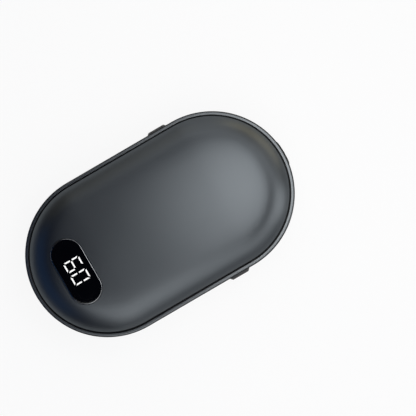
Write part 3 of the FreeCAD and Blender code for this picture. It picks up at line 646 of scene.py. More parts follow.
class OvalSweep:
    """Solid made by carrying a section round a straight-sided oval.

    The section is drawn as (out, up): out from the oval's middle line, up along its axis. A section
    that starts and ends on the middle line gives a filled shape, and a closed one gives a ring.
    """

    STEPS: ClassVar[int] = 96

    def __init__(self, half: float, out: float, up: float) -> None:
        """Start the section.

        Args:
            half: Half of the oval's straight length.
            out: Distance of the first point from the middle line.
            up: Height of the first point.
        """
        self.half = half
        self.bm = bmesh.new()
        self.first = self.last = self.bm.verts.new((half, -out, up))

    def line(self, out: float, up: float) -> "OvalSweep":
        """Draw a straight edge.

        Args:
            out: Distance of its end from the middle line.
            up: Height of its end.

        Returns:
            This sweep.
        """
        added = bmesh.ops.extrude_vert_indiv(self.bm, verts=[self.last])
        self.last = added["verts"][0]
        self.last.co = (self.half, -out, up)
        return self

    def arc(self, out: float, up: float, degrees: float, steps: int = 12) -> "OvalSweep":
        """Draw an arc.

        Args:
            out: Distance of its centre from the middle line.
            up: Height of its centre.
            degrees: Angle that it turns, clockwise where positive.
            steps: Number of edges.

        Returns:
            This sweep.
        """
        swept = bmesh.ops.spin(
            self.bm,
            geom=[self.last],
            cent=(self.half, -out, up),
            axis=(1, 0, 0),
            angle=math.radians(degrees),
            steps=steps,
            use_merge=False,
        )
        self.last = next(v for v in swept["geom_last"] if isinstance(v, bmesh.types.BMVert))
        return self

    def close(self) -> "OvalSweep":
        """Join the section's end to its start."""
        self.bm.edges.new((self.last, self.first))
        return self

    def solid(self, facing: Facing, origin: Vector) -> bmesh.types.BMesh:
        """Carry the section all round and put the solid in its place.

        Args:
            facing: How the solid is turned.
            origin: Where the middle of the oval goes.

        Returns:
            The finished mesh.
        """
        bm = self.bm
        section = bm.edges[:]
        spun = bmesh.ops.spin(
            bm,
            geom=bm.verts[:] + section,
            cent=(self.half, 0, 0),
            axis=(0, 0, 1),
            angle=math.pi,
            steps=self.STEPS,
            use_merge=False,
        )
        ends = section + [e for e in spun["geom_last"] if isinstance(e, bmesh.types.BMEdge)]
        drawn = bmesh.ops.extrude_edge_only(bm, edges=ends)
        moved = [v for v in drawn["geom"] if isinstance(v, bmesh.types.BMVert)]
        bmesh.ops.translate(bm, verts=moved, vec=(-self.half, 0, 0))
        bmesh.ops.mirror(
            bm,
            geom=bm.verts[:] + bm.edges[:] + bm.faces[:],
            matrix=Matrix.Identity(4),
            merge_dist=MERGE,
            axis="X",
        )
        bmesh.ops.remove_doubles(bm, verts=bm.verts[:], dist=MERGE)
        bmesh.ops.dissolve_degenerate(bm, edges=bm.edges[:], dist=MERGE)
        bmesh.ops.recalc_face_normals(bm, faces=bm.faces[:])
        bm.transform(Matrix.Translation(origin) @ facing.matrix())
        return bm


class Piece:
    """Object in the making: shown, dressed and tied to the CAD body that carries it."""

    ROD_SIDES: ClassVar[int] = 48
    SHARP_DEGREES: ClassVar[float] = 20.0

    def __init__(self, name: str, bm: bmesh.types.BMesh) -> None:
        """Turn a finished bmesh into an object at the origin.

        Args:
            name: Name of the piece.
            bm: Its shape, which is freed.
        """
        mesh = bpy.data.meshes.new(name)
        bm.to_mesh(mesh)
        bm.free()
        self.obj = bpy.data.objects.new(name, mesh)
        bpy.context.scene.collection.objects.link(self.obj)

    @classmethod
    def plug(
        cls,
        name: str,
        section: tuple[float, float],
        span: tuple[float, float],
        facing: Facing,
        origin: Vector,
    ) -> "Piece":
        """Make a straight plug with an oval section.

        Args:
            name: Name of the piece.
            section: Half straight length and radius of the oval.
            span: Lower and upper end along its axis.
            facing: How it is turned.
            origin: Middle of its level 0.

        Returns:
            The plug.
        """
        half, radius = section
        low, high = span
        sweep = OvalSweep(half, 0.0, high).line(radius, high).line(radius, low).line(0.0, low)
        return cls(name, sweep.solid(facing, origin))

    @classmethod
    def rods(cls, name: str, radius: float, places: Iterable[tuple[Vector, float]]) -> "Piece":
        """Make a group of upright round rods.

        Args:
            name: Name of the piece.
            radius: Radius of each rod.
            places: Middle of each rod's foot, and the level of its top.

        Returns:
            The rods, as one piece.
        """
        bm = bmesh.new()
        for foot, top in places:
            height = top - foot.z
            bmesh.ops.create_cone(
                bm,
                cap_ends=True,
                segments=cls.ROD_SIDES,
                radius1=radius,
                radius2=radius,
                depth=height,
                matrix=Matrix.Translation(foot + Vector((0.0, 0.0, height / 2))),
            )
        return cls(name, bm)

    def _combine(self, operation: str, others: Iterable["Piece"]) -> "Piece":
        """Run a boolean operation with other pieces and drop them.

        Args:
            operation: Blender's name for it.
            others: Pieces that it uses up.

        Returns:
            This piece.
        """
        used = [other.obj for other in others]
        for other in used:
            modifier = self.obj.modifiers.new(other.name, "BOOLEAN")
            modifier.operation = operation
            modifier.solver = "EXACT"
            modifier.object = other
        bm = bmesh.new()
        bm.from_object(self.obj, bpy.context.evaluated_depsgraph_get())
        bmesh.ops.remove_doubles(bm, verts=bm.verts[:], dist=MERGE)
        bmesh.ops.dissolve_degenerate(bm, edges=bm.edges[:], dist=MERGE)
        self.obj.modifiers.clear()
        bm.to_mesh(self.obj.data)
        bm.free()
        for other in used:
            bpy.data.meshes.remove(other.data)
        return self

    def carve(self, *tools: "Piece") -> "Piece":
        """Cut other pieces out of this one."""
        return self._combine("DIFFERENCE", tools)

    def join(self, *others: "Piece") -> "Piece":
        """Make this piece and others into one."""
        return self._combine("UNION", others)

    def soften(self, width: float, segments: int = 3) -> "Piece":
        """Round the sharp edges.

        Args:
            width: Width of the rounding.
            segments: Number of faces across it.

        Returns:
            This piece.
        """
        bm = bmesh.new()
        bm.from_mesh(self.obj.data)
        limit = math.radians(self.SHARP_DEGREES)
        sharp = [e for e in bm.edges if e.is_manifold and e.calc_face_angle() > limit]
        bmesh.ops.bevel(
            bm,
            geom=sharp,
            offset=width,
            affect="EDGES",
            segments=segments,
            profile=0.5,
            material=-1,
            clamp_overlap=True,
        )
        bm.to_mesh(self.obj.data)
        bm.free()
        return self

    def dress(
        self, finish: Finish, body: str, stands_for: Sequence[str], crease: float = 30.0
    ) -> bpy.types.Object:
        """Give the piece its finish and hang it on its CAD body.

        Args:
            finish: Finish of its surface.
            body: CAD body that it moves with.
            stands_for: CAD nodes that it replaces.
            crease: Angle in degrees over which an edge stays sharp.

        Returns:
            The finished object.
        """
        mesh = self.obj.data
        mesh.polygons.foreach_set("use_smooth", [True] * len(mesh.polygons))
        mesh.set_sharp_from_angle(angle=math.radians(crease))
        mesh.materials.clear()
        mesh.materials.append(finish.material())
        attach(self.obj, body)
        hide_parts(*stands_for)
        LOG.info("%s: %d faces, finish %s", self.obj.name, len(mesh.polygons), finish.slot)
        return self.obj


COVER_METAL = Finish(
    slot="cover_metal",
    colour=(0.105, 0.115, 0.122),
    roughness=0.36,
    metallic=1.0,
    edge_tint=0.05,
    drift=0.03,
    drift_size=0.02,
    roughness_spread=0.02,
    grain_size=0.00018,
    grain_depth=0.00002,
    grain_strength=0.12,
)
COATED_FRAME = RimPaintedLightFinish(
    slot="frame_plastic",
    # Wall colour, darkened as painted shade
    colour=(0.050, 0.053, 0.055),
    # Colour of the painted highlight on the front and rear faces
    rim_highlight=(0.150, 0.160, 0.166),
    roughness=0.34,
    metallic=1.0,
    edge_tint=0.0,
    drift=0.04,
    drift_size=0.01,
    roughness_spread=0.03,
    grain_size=0.00020,
    grain_strength=0.10,
)
BUTTON_PLASTIC = Finish(
    slot="button_plastic",
    colour=(0.038, 0.037, 0.036),
    roughness=0.45,
    drift=0.08,
    grain_size=0.00015,
)


@dataclass
class Cover:
    """One of the two metal shells: crowned or flat middle, two-arc shoulder and straight skirt."""

    node: str
    name: str
    facing: Facing
    crown: float = 0.0
    shoulder_radius: float = 0.0154
    edge_radius: float = 0.0038
    edge_round: float = 0.0008
    edge_gap: float = 0.00035
    wall: float = 0.0010
    flat_margin: float = 0.0015
    blends: tuple[tuple[float, float], ...] = ((0.090, 6.0), (0.035, 10.0))
    HALVINGS: ClassVar[int] = 40

    def __post_init__(self) -> None:
        """Read the cover's sizes from its CAD node's box."""
        low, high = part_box(self.node)
        self.out = high.y - self.edge_gap
        self.half = high.x - high.y
        self.depth = high.z - low.z - self.crown
        self.level = high.z - self.crown if self.facing is Facing.FRONT else low.z
        slant = math.sin(math.radians(HALF_RIGHT_ANGLE))
        self.inset = (self.shoulder_radius - self.edge_radius) * slant
        self.plateau = high.y - self.edge_radius - self.inset

    @property
    def crown_radius(self) -> float:
        """Radius of the crown, whose arc ends in the shoulder's."""
        return (self.plateau**2 + self.crown**2) / (2 * self.crown) + self.shoulder_radius

    @property
    def dome(self) -> tuple[float, float]:
        """Half straight length of the oval, and radius of the crown."""
        return self.half, self.crown_radius

    def rise(self, x: float, y: float) -> float:
        """Height of the crown at a place on the cover.

        Args:
            x: Place along the body.
            y: Place across the body.

        Returns:
            Height over the level of a flat middle.
        """
        off = math.hypot(max(0.0, abs(x) - self.half), y)
        return self.crown - self.crown_radius + math.sqrt(self.crown_radius**2 - off**2)

    def crown_arcs(self, slope: float) -> tuple[list[tuple[float, float]], float]:
        """Arcs from the crown's top to the middle of the shoulder, for one slope of the crown.

        The crown runs into the shoulder by blend arcs, and the last arc takes up the rest of the
        way out.

        Args:
            slope: Slope in degrees at which the crown ends.

        Returns:
            Radius and end slope of each arc, and the fall from first to last.
        """
        arcs = [(self.crown_radius, slope), *self.blends]
        way = self.plateau + self.shoulder_radius * math.sin(math.radians(HALF_RIGHT_ANGLE))
        fall, start = 0.0, 0.0
        for radius, end in [*arcs, (0.0, HALF_RIGHT_ANGLE)]:
            turn = math.sin(math.radians(end)) - math.sin(math.radians(start))
            if not radius:
                radius = way / turn
                arcs.append((radius, end))
            way -= radius * turn
            fall += radius * (math.cos(math.radians(start)) - math.cos(math.radians(end)))
            start = end
        return arcs, fall

    def crown_slope(self) -> float:
        """Find the slope of the crown that makes the face meet the CAD's shoulder.

        Returns:
            The slope in degrees, found by halving.
        """
        target = self.crown + self.shoulder_radius * (1 - math.cos(math.radians(HALF_RIGHT_ANGLE)))
        low, high = 0.0, self.blends[0][1]
        for _ in range(self.HALVINGS):
            slope = (low + high) / 2
            low, high = (slope, high) if self.crown_arcs(slope)[1] > target else (low, slope)
        return slope

    def draw_face(self) -> tuple[OvalSweep, float]:
        """Draw the section from the middle line to the middle of the shoulder.

        Returns:
            The sweep, which ends at half a right angle, and the radius of its last arc.
        """
        if not self.crown:
            sweep = OvalSweep(self.half, 0.0, 0.0).line(self.plateau - self.flat_margin, 0.0)
            sweep.line(self.plateau, 0.0)
            sweep.arc(self.plateau, -self.shoulder_radius, HALF_RIGHT_ANGLE, steps=24)
            return sweep, self.shoulder_radius
        sweep, start = OvalSweep(self.half, 0.0, self.crown), 0.0
        arcs, _ = self.crown_arcs(self.crown_slope())
        for radius, end in arcs:
            tilt = math.radians(start)
            out = -sweep.last.co.y - radius * math.sin(tilt)
            sweep.arc(out, sweep.last.co.z - radius * math.cos(tilt), end - start, steps=16)
            start = end
        return sweep, radius

    def draw_edge(self) -> OvalSweep:
        """Draw the face's section, carry its shoulder on and round it into the skirt.

        Returns:
            The sweep, which ends at the top of the skirt.
        """
        sweep, radius = self.draw_face()
        half_right = math.radians(HALF_RIGHT_ANGLE)
        out = -sweep.last.co.y - radius * math.sin(half_right)
        level = sweep.last.co.z - radius * math.cos(half_right)
        slope = math.asin((self.out - self.edge_round - out) / (radius - self.edge_round))
        sweep.arc(out, level, math.degrees(slope - half_right), steps=6)
        level = sweep.last.co.z - self.edge_round * math.cos(slope)
        turn = RIGHT_ANGLE - math.degrees(slope)
        return sweep.arc(self.out - self.edge_round, level, turn, steps=8)

    def build(self) -> Piece:
        """Shape the shell from the CAD node's box and this cover's radii.

        Returns:
            The shell, without openings.
        """
        inside, depth = self.out + self.edge_gap - self.wall, self.depth
        big = (self.plateau, -self.shoulder_radius)
        small = (self.plateau + self.inset, self.inset - self.shoulder_radius)
        sweep = self.draw_edge().line(self.out, -depth)
        sweep.line(inside, -depth).line(inside, small[1])
        sweep.arc(*small, -HALF_RIGHT_ANGLE, steps=6).arc(*big, -HALF_RIGHT_ANGLE, steps=10)
        sweep.line(0.0, -self.wall)
        return Piece(self.name, sweep.solid(self.facing, Vector((0.0, 0.0, self.level))))


FRONT_COVER = Cover("front_cover", "cover_front", Facing.FRONT, crown=0.0007)
REAR_COVER = Cover("rear_cover", "cover_rear", Facing.REAR)


@dataclass
class Housing:
    """The two covers, the rim frame between them and the lens of the display.

    Where two pieces are joined, one is rooted in the other, and a face that would lie in another's
    plane is set off from it by a hair.
    """

    # Rim frame
    frame_wall: float = 0.0013
    frame_edge: float = 0.0007
    rib_depth: float = 0.0022
    rib_height: float = 0.0056

    # Lens of the display
    lens_bevel: float = 0.0003
    lens_set_in: ClassVar[float] = 0.00012
    lens_thickness: ClassVar[float] = 0.0006
    lens_wall: float = 0.0015
    lens_rings: int = 8
    lens_crease: float = 25.0
    clear_margin: float = 0.0012
    print_height: float = 0.0001

    # Seat of the lens in the front cover
    window_gap: float = 0.00015
    ledge_width: float = 0.0014
    ledge_thickness: float = 0.0010
    seat_wall: float = 0.0010

    # Pillars and bosses that take screws
    pillar_radius: float = 0.0020
    boss_radius: float = 0.0026
    boss_set_in: float = 0.0022
    board_boss_angles: tuple[float, float] = (40.0, 75.0)
    pilot_radius: float = 0.0008
    pilot_depth: float = 0.0036
    screw_head_radius: float = 0.0015

    # Slots of the buttons
    slot_gap: float = 0.00015
    flange_lip: ClassVar[float] = 0.0004

    # Cuts and joints
    root: float = 0.0003
    hair: float = 0.00002
    cut_reach: float = 0.004

    @property
    def cut_span(self) -> tuple[float, float]:
        """Ends of a cutter that goes right through a wall."""
        return -self.cut_reach, self.cut_reach

    def front(self, cover: Cover) -> bpy.types.Object:
        """Build and dress the front cover, with the window's seat and the display's pillars.

        Args:
            cover: Shape of the shell.

        Returns:
            The finished cover.
        """
        facing = Facing.FRONT_CROSSWISE
        window = Oval.of("display_window", facing)
        middle = Vector((*window.middle.xy, cover.level))
        seat, half = window.radius + self.window_gap, window.half
        opening = Piece.plug("window_opening", (half, seat), self.cut_span, facing, middle)

        root = self.root - cover.wall
        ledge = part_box("window_adhesive")[0].z - cover.level
        foot, mouth = ledge - self.ledge_thickness, seat - self.ledge_width
        inner, outer = seat + self.hair, seat + self.seat_wall
        ring = OvalSweep(half, mouth, foot).line(outer, foot).line(outer, root)
        ring.line(inner, root).line(inner, ledge).line(mouth, ledge).close()
        boss = Piece("window_boss", ring.solid(facing, middle))

        low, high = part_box("display_screws")
        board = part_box("display_board")[1].z
        apart = high.y - self.screw_head_radius
        feet = [Vector(((low.x + high.x) / 2, y, board)) for y in (-apart, apart)]
        pillars = [(at, cover.level + root) for at in feet]
        shell = cover.build().carve(opening)
        shell.join(boss, Piece.rods("pillars", self.pillar_radius, pillars))
        shell.carve(self.pilots("pillar_holes", feet))
        return shell.dress(COVER_METAL, HOUSING, [cover.node])

    def pilots(self, name: str, feet: Iterable[Vector]) -> Piece:
        """Cutters for screw holes.

        Args:
            name: Name of the group.
            feet: Middle of each hole's mouth.

        Returns:
            The cutters, which reach a little out of the mouths.
        """
        below = Vector((0.0, 0.0, self.root))
        holes = [(at - below, at.z + self.pilot_depth) for at in feet]
        return Piece.rods(name, self.pilot_radius, holes)

    def lens(self, cover: Cover) -> bpy.types.Object:
        """Build and dress the lens of the display.

        Args:
            cover: Front cover, whose crown the lens carries on.

        Returns:
            The finished lens.
        """
        window = Oval.of("display_window", Facing.FRONT_CROSSWISE)
        top = cover.level - self.lens_set_in
        depth, flat = top - window.back.z, window.radius - self.lens_bevel
        sweep = OvalSweep(window.half, 0.0, 0.0)
        for ring in range(1, self.lens_rings + 1):
            sweep.line(flat * ring / self.lens_rings, 0.0)
        inner = window.radius - self.lens_wall
        sweep.arc(flat, -self.lens_bevel, RIGHT_ANGLE, steps=10).line(window.radius, -depth)
        sweep.line(inner, -depth).line(inner, -self.lens_thickness).line(0.0, -self.lens_thickness)
        shape = sweep.solid(Facing.FRONT_CROSSWISE, Vector((*window.middle.xy, top)))
        for vertex in shape.verts:
            if vertex.co.z > top - self.lens_thickness - MERGE:
                vertex.co.z += cover.rise(vertex.co.x, vertex.co.y)

        figures_low, figures_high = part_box("lit_segments")
        finish = SmokedLens(
            slot="window_lens",
            colour=(0.0012, 0.0012, 0.0014),
            roughness=0.08,
            specular=0.4,
            drift=0.3,
            roughness_spread=0.02,
            grain_strength=0.02,
            centre=(window.middle.x, window.middle.y),
            straight_half=window.half,
            # The painted highlight covers the bevel outside this flat top
            edge_from=flat,
            dome=cover.dome,
            back_level=top + cover.crown - self.lens_thickness + self.print_height,
            clear_half=(
                (figures_high.x - figures_low.x) / 2 + self.clear_margin,
                (figures_high.y - figures_low.y) / 2 + self.clear_margin,
            ),
        )
        lens = Piece("window_lens", shape)
        return lens.dress(finish, HOUSING, ["display_window"], self.lens_crease)

    def slot_tool(self, node: str, facing: Facing) -> Piece:
        """Cutter for a button's slot, and for the room behind the wall that its flange moves in.

        Args:
            node: CAD node of the button.
            facing: Side that the button faces.

        Returns:
            The cutter.
        """
        flange = Oval.of(node, facing)
        room = flange.radius + self.slot_gap
        slot = room - self.flange_lip
        wall = flange.middle
        wall.y = math.copysign(FRAME_HIGH.y - self.frame_wall, wall.y)
        inner, outer = self.cut_span
        sweep = OvalSweep(flange.half, 0.0, outer).line(slot, outer).line(slot, 0.0)
        sweep.line(room, 0.0).line(room, inner).line(0.0, inner)
        return Piece(f"{node}_slot", sweep.solid(facing, wall))

    def port_tool(self) -> Piece:
        """Cutter for the seat of the port's bezel."""
        seat = Oval.of("port_bezel", Facing.PORT_END)
        return Piece.plug("port_seat", seat.section, self.cut_span, Facing.PORT_END, seat.middle)

    def boss_feet(self) -> list[Vector]:
        """Place the screw bosses inside the rib: four for the cradle, four for the board.

        Returns:
            Middle of each boss's foot.
        """
        low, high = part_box("cradle_screws")
        level = (FRAME_LOW.z + FRAME_HIGH.z - self.rib_height) / 2 + self.hair
        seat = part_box("main_board")[1].z
        reach = FRAME_HIGH.y - self.frame_wall - self.rib_depth - self.boss_set_in
        feet = []
        for side in (-reach, reach):
            for x in (low.x + self.screw_head_radius, high.x - self.screw_head_radius):
                feet.append(Vector((x, side, level)))
            for angle in map(math.radians, self.board_boss_angles):
                x = FRAME_HIGH.x - FRAME_HIGH.y + reach * math.cos(angle)
                feet.append(Vector((x, side * math.sin(angle), seat)))
        return feet

    def rim(self) -> bpy.types.Object:
        """Build and dress the rim frame, with its bosses, its slots and its port opening.

        Returns:
            The finished frame.
        """
        out, tall = FRAME_HIGH.y, (FRAME_HIGH.z - FRAME_LOW.z) / 2
        inner, edge, rib = out - self.frame_wall, self.frame_edge, self.rib_height / 2
        sweep = OvalSweep(FRAME_HIGH.x - out, inner - self.rib_depth, rib)
        sweep.line(inner, rib).line(inner, tall).line(out - edge, tall)
        sweep.arc(out - edge, tall - edge, RIGHT_ANGLE, steps=10).line(out, edge - tall)
        sweep.arc(out - edge, edge - tall, RIGHT_ANGLE, steps=10).line(inner, -tall)
        sweep.line(inner, -rib).line(inner - self.rib_depth, -rib).close()
        middle = Vector((0.0, 0.0, (FRAME_LOW.z + FRAME_HIGH.z) / 2))
        rim = Piece("rim_frame", sweep.solid(Facing.FRONT, middle))

        feet = self.boss_feet()
        bosses = [(at, middle.z + rib - self.hair) for at in feet]
        rim.join(Piece.rods("screw_bosses", self.boss_radius, bosses))
        rim.carve(
            self.slot_tool("power_button", Facing.LEFT),
            self.slot_tool("mode_button", Facing.RIGHT),
            self.port_tool(),
            self.pilots("boss_holes", feet),
        )
        return rim.dress(COATED_FRAME, HOUSING, ["mid_frame"])

    def build(self) -> None:
        """Build and dress every piece of the housing."""
        self.front(FRONT_COVER)
        REAR_COVER.build().dress(COVER_METAL, HOUSING, [REAR_COVER.node])
        self.rim()
        self.lens(FRONT_COVER)


class Bar(Enum):
    """Bars of a display figure; each value is its place in half columns and half rows."""

    TOP = (0, 2)
    UPPER_LEFT = (-1, 1)
    UPPER_RIGHT = (1, 1)
    MIDDLE = (0, 0)
    LOWER_LEFT = (-1, -1)
    LOWER_RIGHT = (1, -1)
    BOTTOM = (0, -2)

    @property
    def upright(self) -> bool:
        """Whether the bar runs up the figure."""
        return self.value[0] != 0


@dataclass
class Display:
    """Two figures under the lens, made of lit and dark bars that stand up from the module.

    Their tops are towards the charging port, and they read towards the -Y side.
    """

    figures: str = "60"
    dark_bars: ClassVar[dict[str, Bar]] = {"6": Bar.UPPER_RIGHT, "0": Bar.MIDDLE}
    pitch: float = 0.00548
    column: float = 0.00365
    row: float = 0.00314
    bar_width: float = 0.00056
    corner_gap: float = 0.00018
    middle_gap: float = 0.00085
    shift: tuple[float, float] = (0.00034, 0.00014)
    air: ClassVar[float] = 0.00008

    @classmethod
    def top(cls) -> float:
        """Level of the bars' tops at the crown's highest point, just under the lens."""
        lens = Housing.lens_set_in + Housing.lens_thickness
        return FRONT_COVER.level + FRONT_COVER.crown - lens - cls.air

    def cut_back(self, bar: Bar, end: float, side: float) -> float:
        """How far a corner of a bar stays short of the crossing of the bars' middle lines.

        Args:
            bar: The bar.
            end: 1 at the end that is right or up in the figure, -1 at the other.
            side: 1 on the bar's outer edge, -1 on its inner edge.

        Returns:
            The distance.
        """
        if bar is Bar.MIDDLE:
            return self.bar_width / 2 + self.corner_gap
        if bar.upright and end * bar.value[1] < 0:
            return self.middle_gap / 2
        return self.corner_gap + self.bar_width * (1 - side) / 2

    def add_bar(self, bm: bmesh.types.BMesh, bar: Bar, middle: Vector) -> None:
        """Add the face of one bar.

        Args:
            bm: Mesh that it is added to.
            bar: Which bar it is.
            middle: Middle of the figure.
        """
        column, row = bar.value
        half = (self.row if bar.upright else self.column) / 2
        place = middle + Vector((row * self.row / 2, -column * self.column / 2, 0.0))
        run, out = Vector((0.0, -1.0, 0.0)), Vector((1.0 if row >= 0 else -1.0, 0.0, 0.0))
        if bar.upright:
            run, out = Vector((1.0, 0.0, 0.0)), Vector((0.0, -column, 0.0))
        for vertex in bmesh.ops.create_grid(bm, x_segments=1, y_segments=1, size=1.0)["verts"]:
            end, side = vertex.co.x, vertex.co.y
            reach = end * (half - self.cut_back(bar, end, side))
            vertex.co = place + run * reach + out * (side * self.bar_width / 2)

    def build(self) -> None:
        """Build and dress the lit bars and the dark ones."""
        low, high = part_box("lit_segments")
        middle = (low + high) / 2 + Vector((*self.shift, 0.0))
        middle.z = self.top()
        for node, slot, lit in (
            ("lit_segments", "lit_segment", True),
            ("unlit_segments", "dark_segment", False),
        ):
            bm = bmesh.new()
            for order, figure in enumerate(self.figures):
                off = (order - (len(self.figures) - 1) / 2) * self.pitch
                for bar in Bar:
                    if (bar is not self.dark_bars[figure]) is lit:
                        self.add_bar(bm, bar, middle - Vector((0.0, off, 0.0)))
            drawn = bmesh.ops.extrude_face_region(bm, geom=bm.faces[:], use_keep_orig=True)
            moved = [v for v in drawn["geom"] if isinstance(v, bmesh.types.BMVert)]
            for vertex in bm.verts:
                vertex.co.z += FRONT_COVER.rise(vertex.co.x, vertex.co.y) - FRONT_COVER.crown
            for vertex in moved:
                vertex.co.z = low.z
            bmesh.ops.recalc_face_normals(bm, faces=bm.faces[:])
            Piece(f"{slot}_bars", bm).dress(INSIDE_FINISHES[slot], HOUSING, [node])


@dataclass
class SideButton:
    """Push button in a side of the rim: bevelled cap with a flange behind the wall."""

    node: str
    plunger: str
    body: str
    facing: Facing
    bevel: float = 0.00085
    cap_depth: float = 0.0024
    flange_thickness: float = 0.0008
    softness: float = 0.00012

    def build(self) -> None:
        """Build and dress the cap with its flange and post."""
        flange = Oval.of(self.node, self.facing)
        out = flange.radius - Housing.flange_lip
        foot = self.cap_depth + self.flange_thickness
        sweep = OvalSweep(flange.half, 0.0, 0.0).line(out - self.bevel, 0.0).line(out, -self.bevel)
        sweep.line(out, -self.cap_depth).line(flange.radius, -self.cap_depth)
        sweep.line(flange.radius, -foot).line(0.0, -foot)
        cap = Piece(f"{self.node}_cap", sweep.solid(self.facing, flange.face)).soften(self.softness)
        cap.join(self.post(flange.face, foot, flange.depth))
        cap.dress(BUTTON_PLASTIC, self.body, [self.node])

    def post(self, face: Vector, foot: float, tip: float) -> Piece:
        """Post behind the flange, which pushes the switch's plunger.

        Args:
            face: Middle of the cap's face.
            foot: Depth of the flange's back under the face.
            tip: Depth of the post's tip.

        Returns:
            The post, rooted in the flange.
        """
        section = Oval.of(self.plunger, self.facing).section
        span = (-tip, self.flange_thickness / 2 - foot)
        return Piece.plug(f"{self.node}_post", section, span, self.facing, face)


@dataclass
class ChargingPort:
    """Bezel and steel shell of the charging port."""

    bezel_wall: float = 0.0006
    bezel_slope: tuple[float, float] = (0.0005, 0.00025)
    mouth_bevel: float = 0.0001
    shell_wall: float = 0.0003

    def bezel(self) -> None:
        """Build and dress the bezel, bent to the curve of the rim's end."""
        mouth = Oval.of("port_bezel", Facing.PORT_END)
        out, depth, bevel = mouth.radius, mouth.depth, self.mouth_bevel
        inner = out - self.bezel_wall
        across, down = self.bezel_slope
        ring = OvalSweep(mouth.half, out - across, 0.0).line(out, -down).line(out, -depth)
        ring.line(inner, -depth).line(inner, -bevel).line(inner + bevel, 0.0).close()
        bent = ring.solid(Facing.PORT_END, mouth.face)
        bend = FRAME_HIGH.y + mouth.face.x - FRAME_HIGH.x
        for vertex in bent.verts:
            vertex.co.x += math.sqrt(bend**2 - vertex.co.y**2) - bend
        Piece("port_mouth", bent).dress(COATED_FRAME, HOUSING, ["port_bezel"])

    def shell(self) -> None:
        """Build and dress the steel shell, closed at its inner end."""
        mouth = Oval.of("usb_shell", Facing.PORT_END)
        out, depth = mouth.radius, mouth.depth
        inner, floor = out - self.shell_wall, self.shell_wall - depth
        tube = OvalSweep(mouth.half, 0.0, -depth).line(out, -depth).line(out, 0.0)
        tube.line(inner, 0.0).line(inner, floor).line(0.0, floor)
        piece = Piece("port_shell", tube.solid(Facing.PORT_END, mouth.face))
        piece.dress(PORT_STEEL, HOUSING, ["usb_shell"])

    def build(self) -> None:
        """Build both pieces."""
        self.bezel()
        self.shell()


PORT_STEEL = BrushedFinish(
    slot="port_steel", colour=(0.55, 0.55, 0.54), roughness=0.3, metallic=1.0, axis=Axis.ACROSS
)

INSIDE_FINISHES: dict[str, Finish] = {
    finish.slot: finish
    for finish in (
        Finish("seal_rubber", (0.012, 0.012, 0.013), roughness=0.75, grain_size=0.0004),
        Finish("window_glue", (0.62, 0.62, 0.58), roughness=0.4, grain_strength=0.1),
        Finish("display_black", (0.003, 0.003, 0.0035), roughness=0.6, specular=0.2, grain_size=0.0003),
        GlowingFinish(
            "lit_segment",
            (1.0, 1.0, 1.0),
            roughness=0.4,
            drift=0.02,
            drift_size=0.001,
            dome=FRONT_COVER.dome,
            top=Display.top(),
        ),
        Finish("dark_segment", (0.005, 0.005, 0.005), roughness=0.5, specular=0.2, drift_size=0.001),
        StripedFinish(
            "board_green", (0.012, 0.085, 0.040), roughness=0.35, second=(0.025, 0.14, 0.07),
            pitch=0.0011, share=0.4, axis=Axis.ALONG,
        ),
        Finish("chip_black", (0.016, 0.016, 0.017), roughness=0.6, grain_size=0.0002),
        CellularFinish("ceramic_tan", (0.45, 0.33, 0.20), roughness=0.45, cell_size=0.0002),
        Finish("socket_cream", (0.72, 0.68, 0.58), roughness=0.5),
        StripedFinish(
            "ribbon_white", (0.75, 0.75, 0.73), roughness=0.45, second=(0.42, 0.40, 0.36),
            pitch=0.0005, share=0.5, axis=Axis.ACROSS,
        ),
        BrushedFinish("nickel", (0.60, 0.57, 0.52), roughness=0.32, metallic=1.0, axis=Axis.ACROSS),
        PORT_STEEL,
        BrushedFinish("port_gold", (0.80, 0.56, 0.22), roughness=0.28, metallic=1.0),
        BrushedFinish("screw_steel", (0.50, 0.50, 0.50), roughness=0.35, metallic=1.0, axis=Axis.UP),
        StripedFinish(
            "cell_wrap", (0.030, 0.110, 0.190), roughness=0.35, second=(0.045, 0.15, 0.25),
            pitch=0.0163, share=0.3, axis=Axis.ALONG,
        ),
        Finish("cradle_plastic", (0.030, 0.031, 0.033), roughness=0.55, grain_size=0.0004),
        StripedFinish(
            "heater_film", (0.42, 0.17, 0.030), roughness=0.3, second=(0.20, 0.08, 0.02),
            pitch=0.0024, share=0.55, axis=Axis.ACROSS,
        ),
        CellularFinish("foam_grey", (0.22, 0.22, 0.23), roughness=0.9, grain_strength=0.6),
        Finish("lead_black", (0.014, 0.014, 0.015), roughness=0.5, grain_size=0.0004),
    )
}


@dataclass
class Inside:
    """CAD nodes that stay as they are and get a finish of their own."""

    slots: dict[str, str] = field(default_factory=dict)

    def read_slots(self) -> None:
        """Take each node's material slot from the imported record."""
        for row in frame["record"]["subparts"]:
            self.slots[row["node"]] = row["material_slot"]

    def build(self) -> None:
        """Dress every CAD node that no piece stands for."""
        self.read_slots()
        for name, node in sorted(frame["nodes"].items()):
            if node.hide_render:
                continue
            finish = INSIDE_FINISHES[self.slots[name]]
            node.data.materials.clear()
            node.data.materials.append(finish.material())
            LOG.info("%s: CAD node, finish %s", name, finish.slot)


@dataclass(frozen=True)
class SoftBox:
    """Rectangular soft light that the camera doesn't see."""

    name: str
    place: tuple[float, float, float]
    aim: tuple[float, float, float]
    size: tuple[float, float]
    radiance: float
    colour: Colour = (1.0, 1.0, 1.0)

    def build(self) -> None:
        """Hang the light and turn it to its aim."""
        lamp = bpy.data.lights.new(self.name, "AREA")
        lamp.shape = "RECTANGLE"
        lamp.size, lamp.size_y = self.size
        lamp.energy = self.radiance * math.pi * lamp.size * lamp.size_y
        lamp.color = self.colour
        holder = bpy.data.objects.new(self.name, lamp)
        holder.location = self.place
        turn = (Vector(self.aim) - Vector(self.place)).to_track_quat("-Z", "Y")
        holder.rotation_euler = turn.to_euler()
        holder.visible_camera = False
        bpy.context.scene.collection.objects.link(holder)
        LOG.info("%s: soft light", self.name)


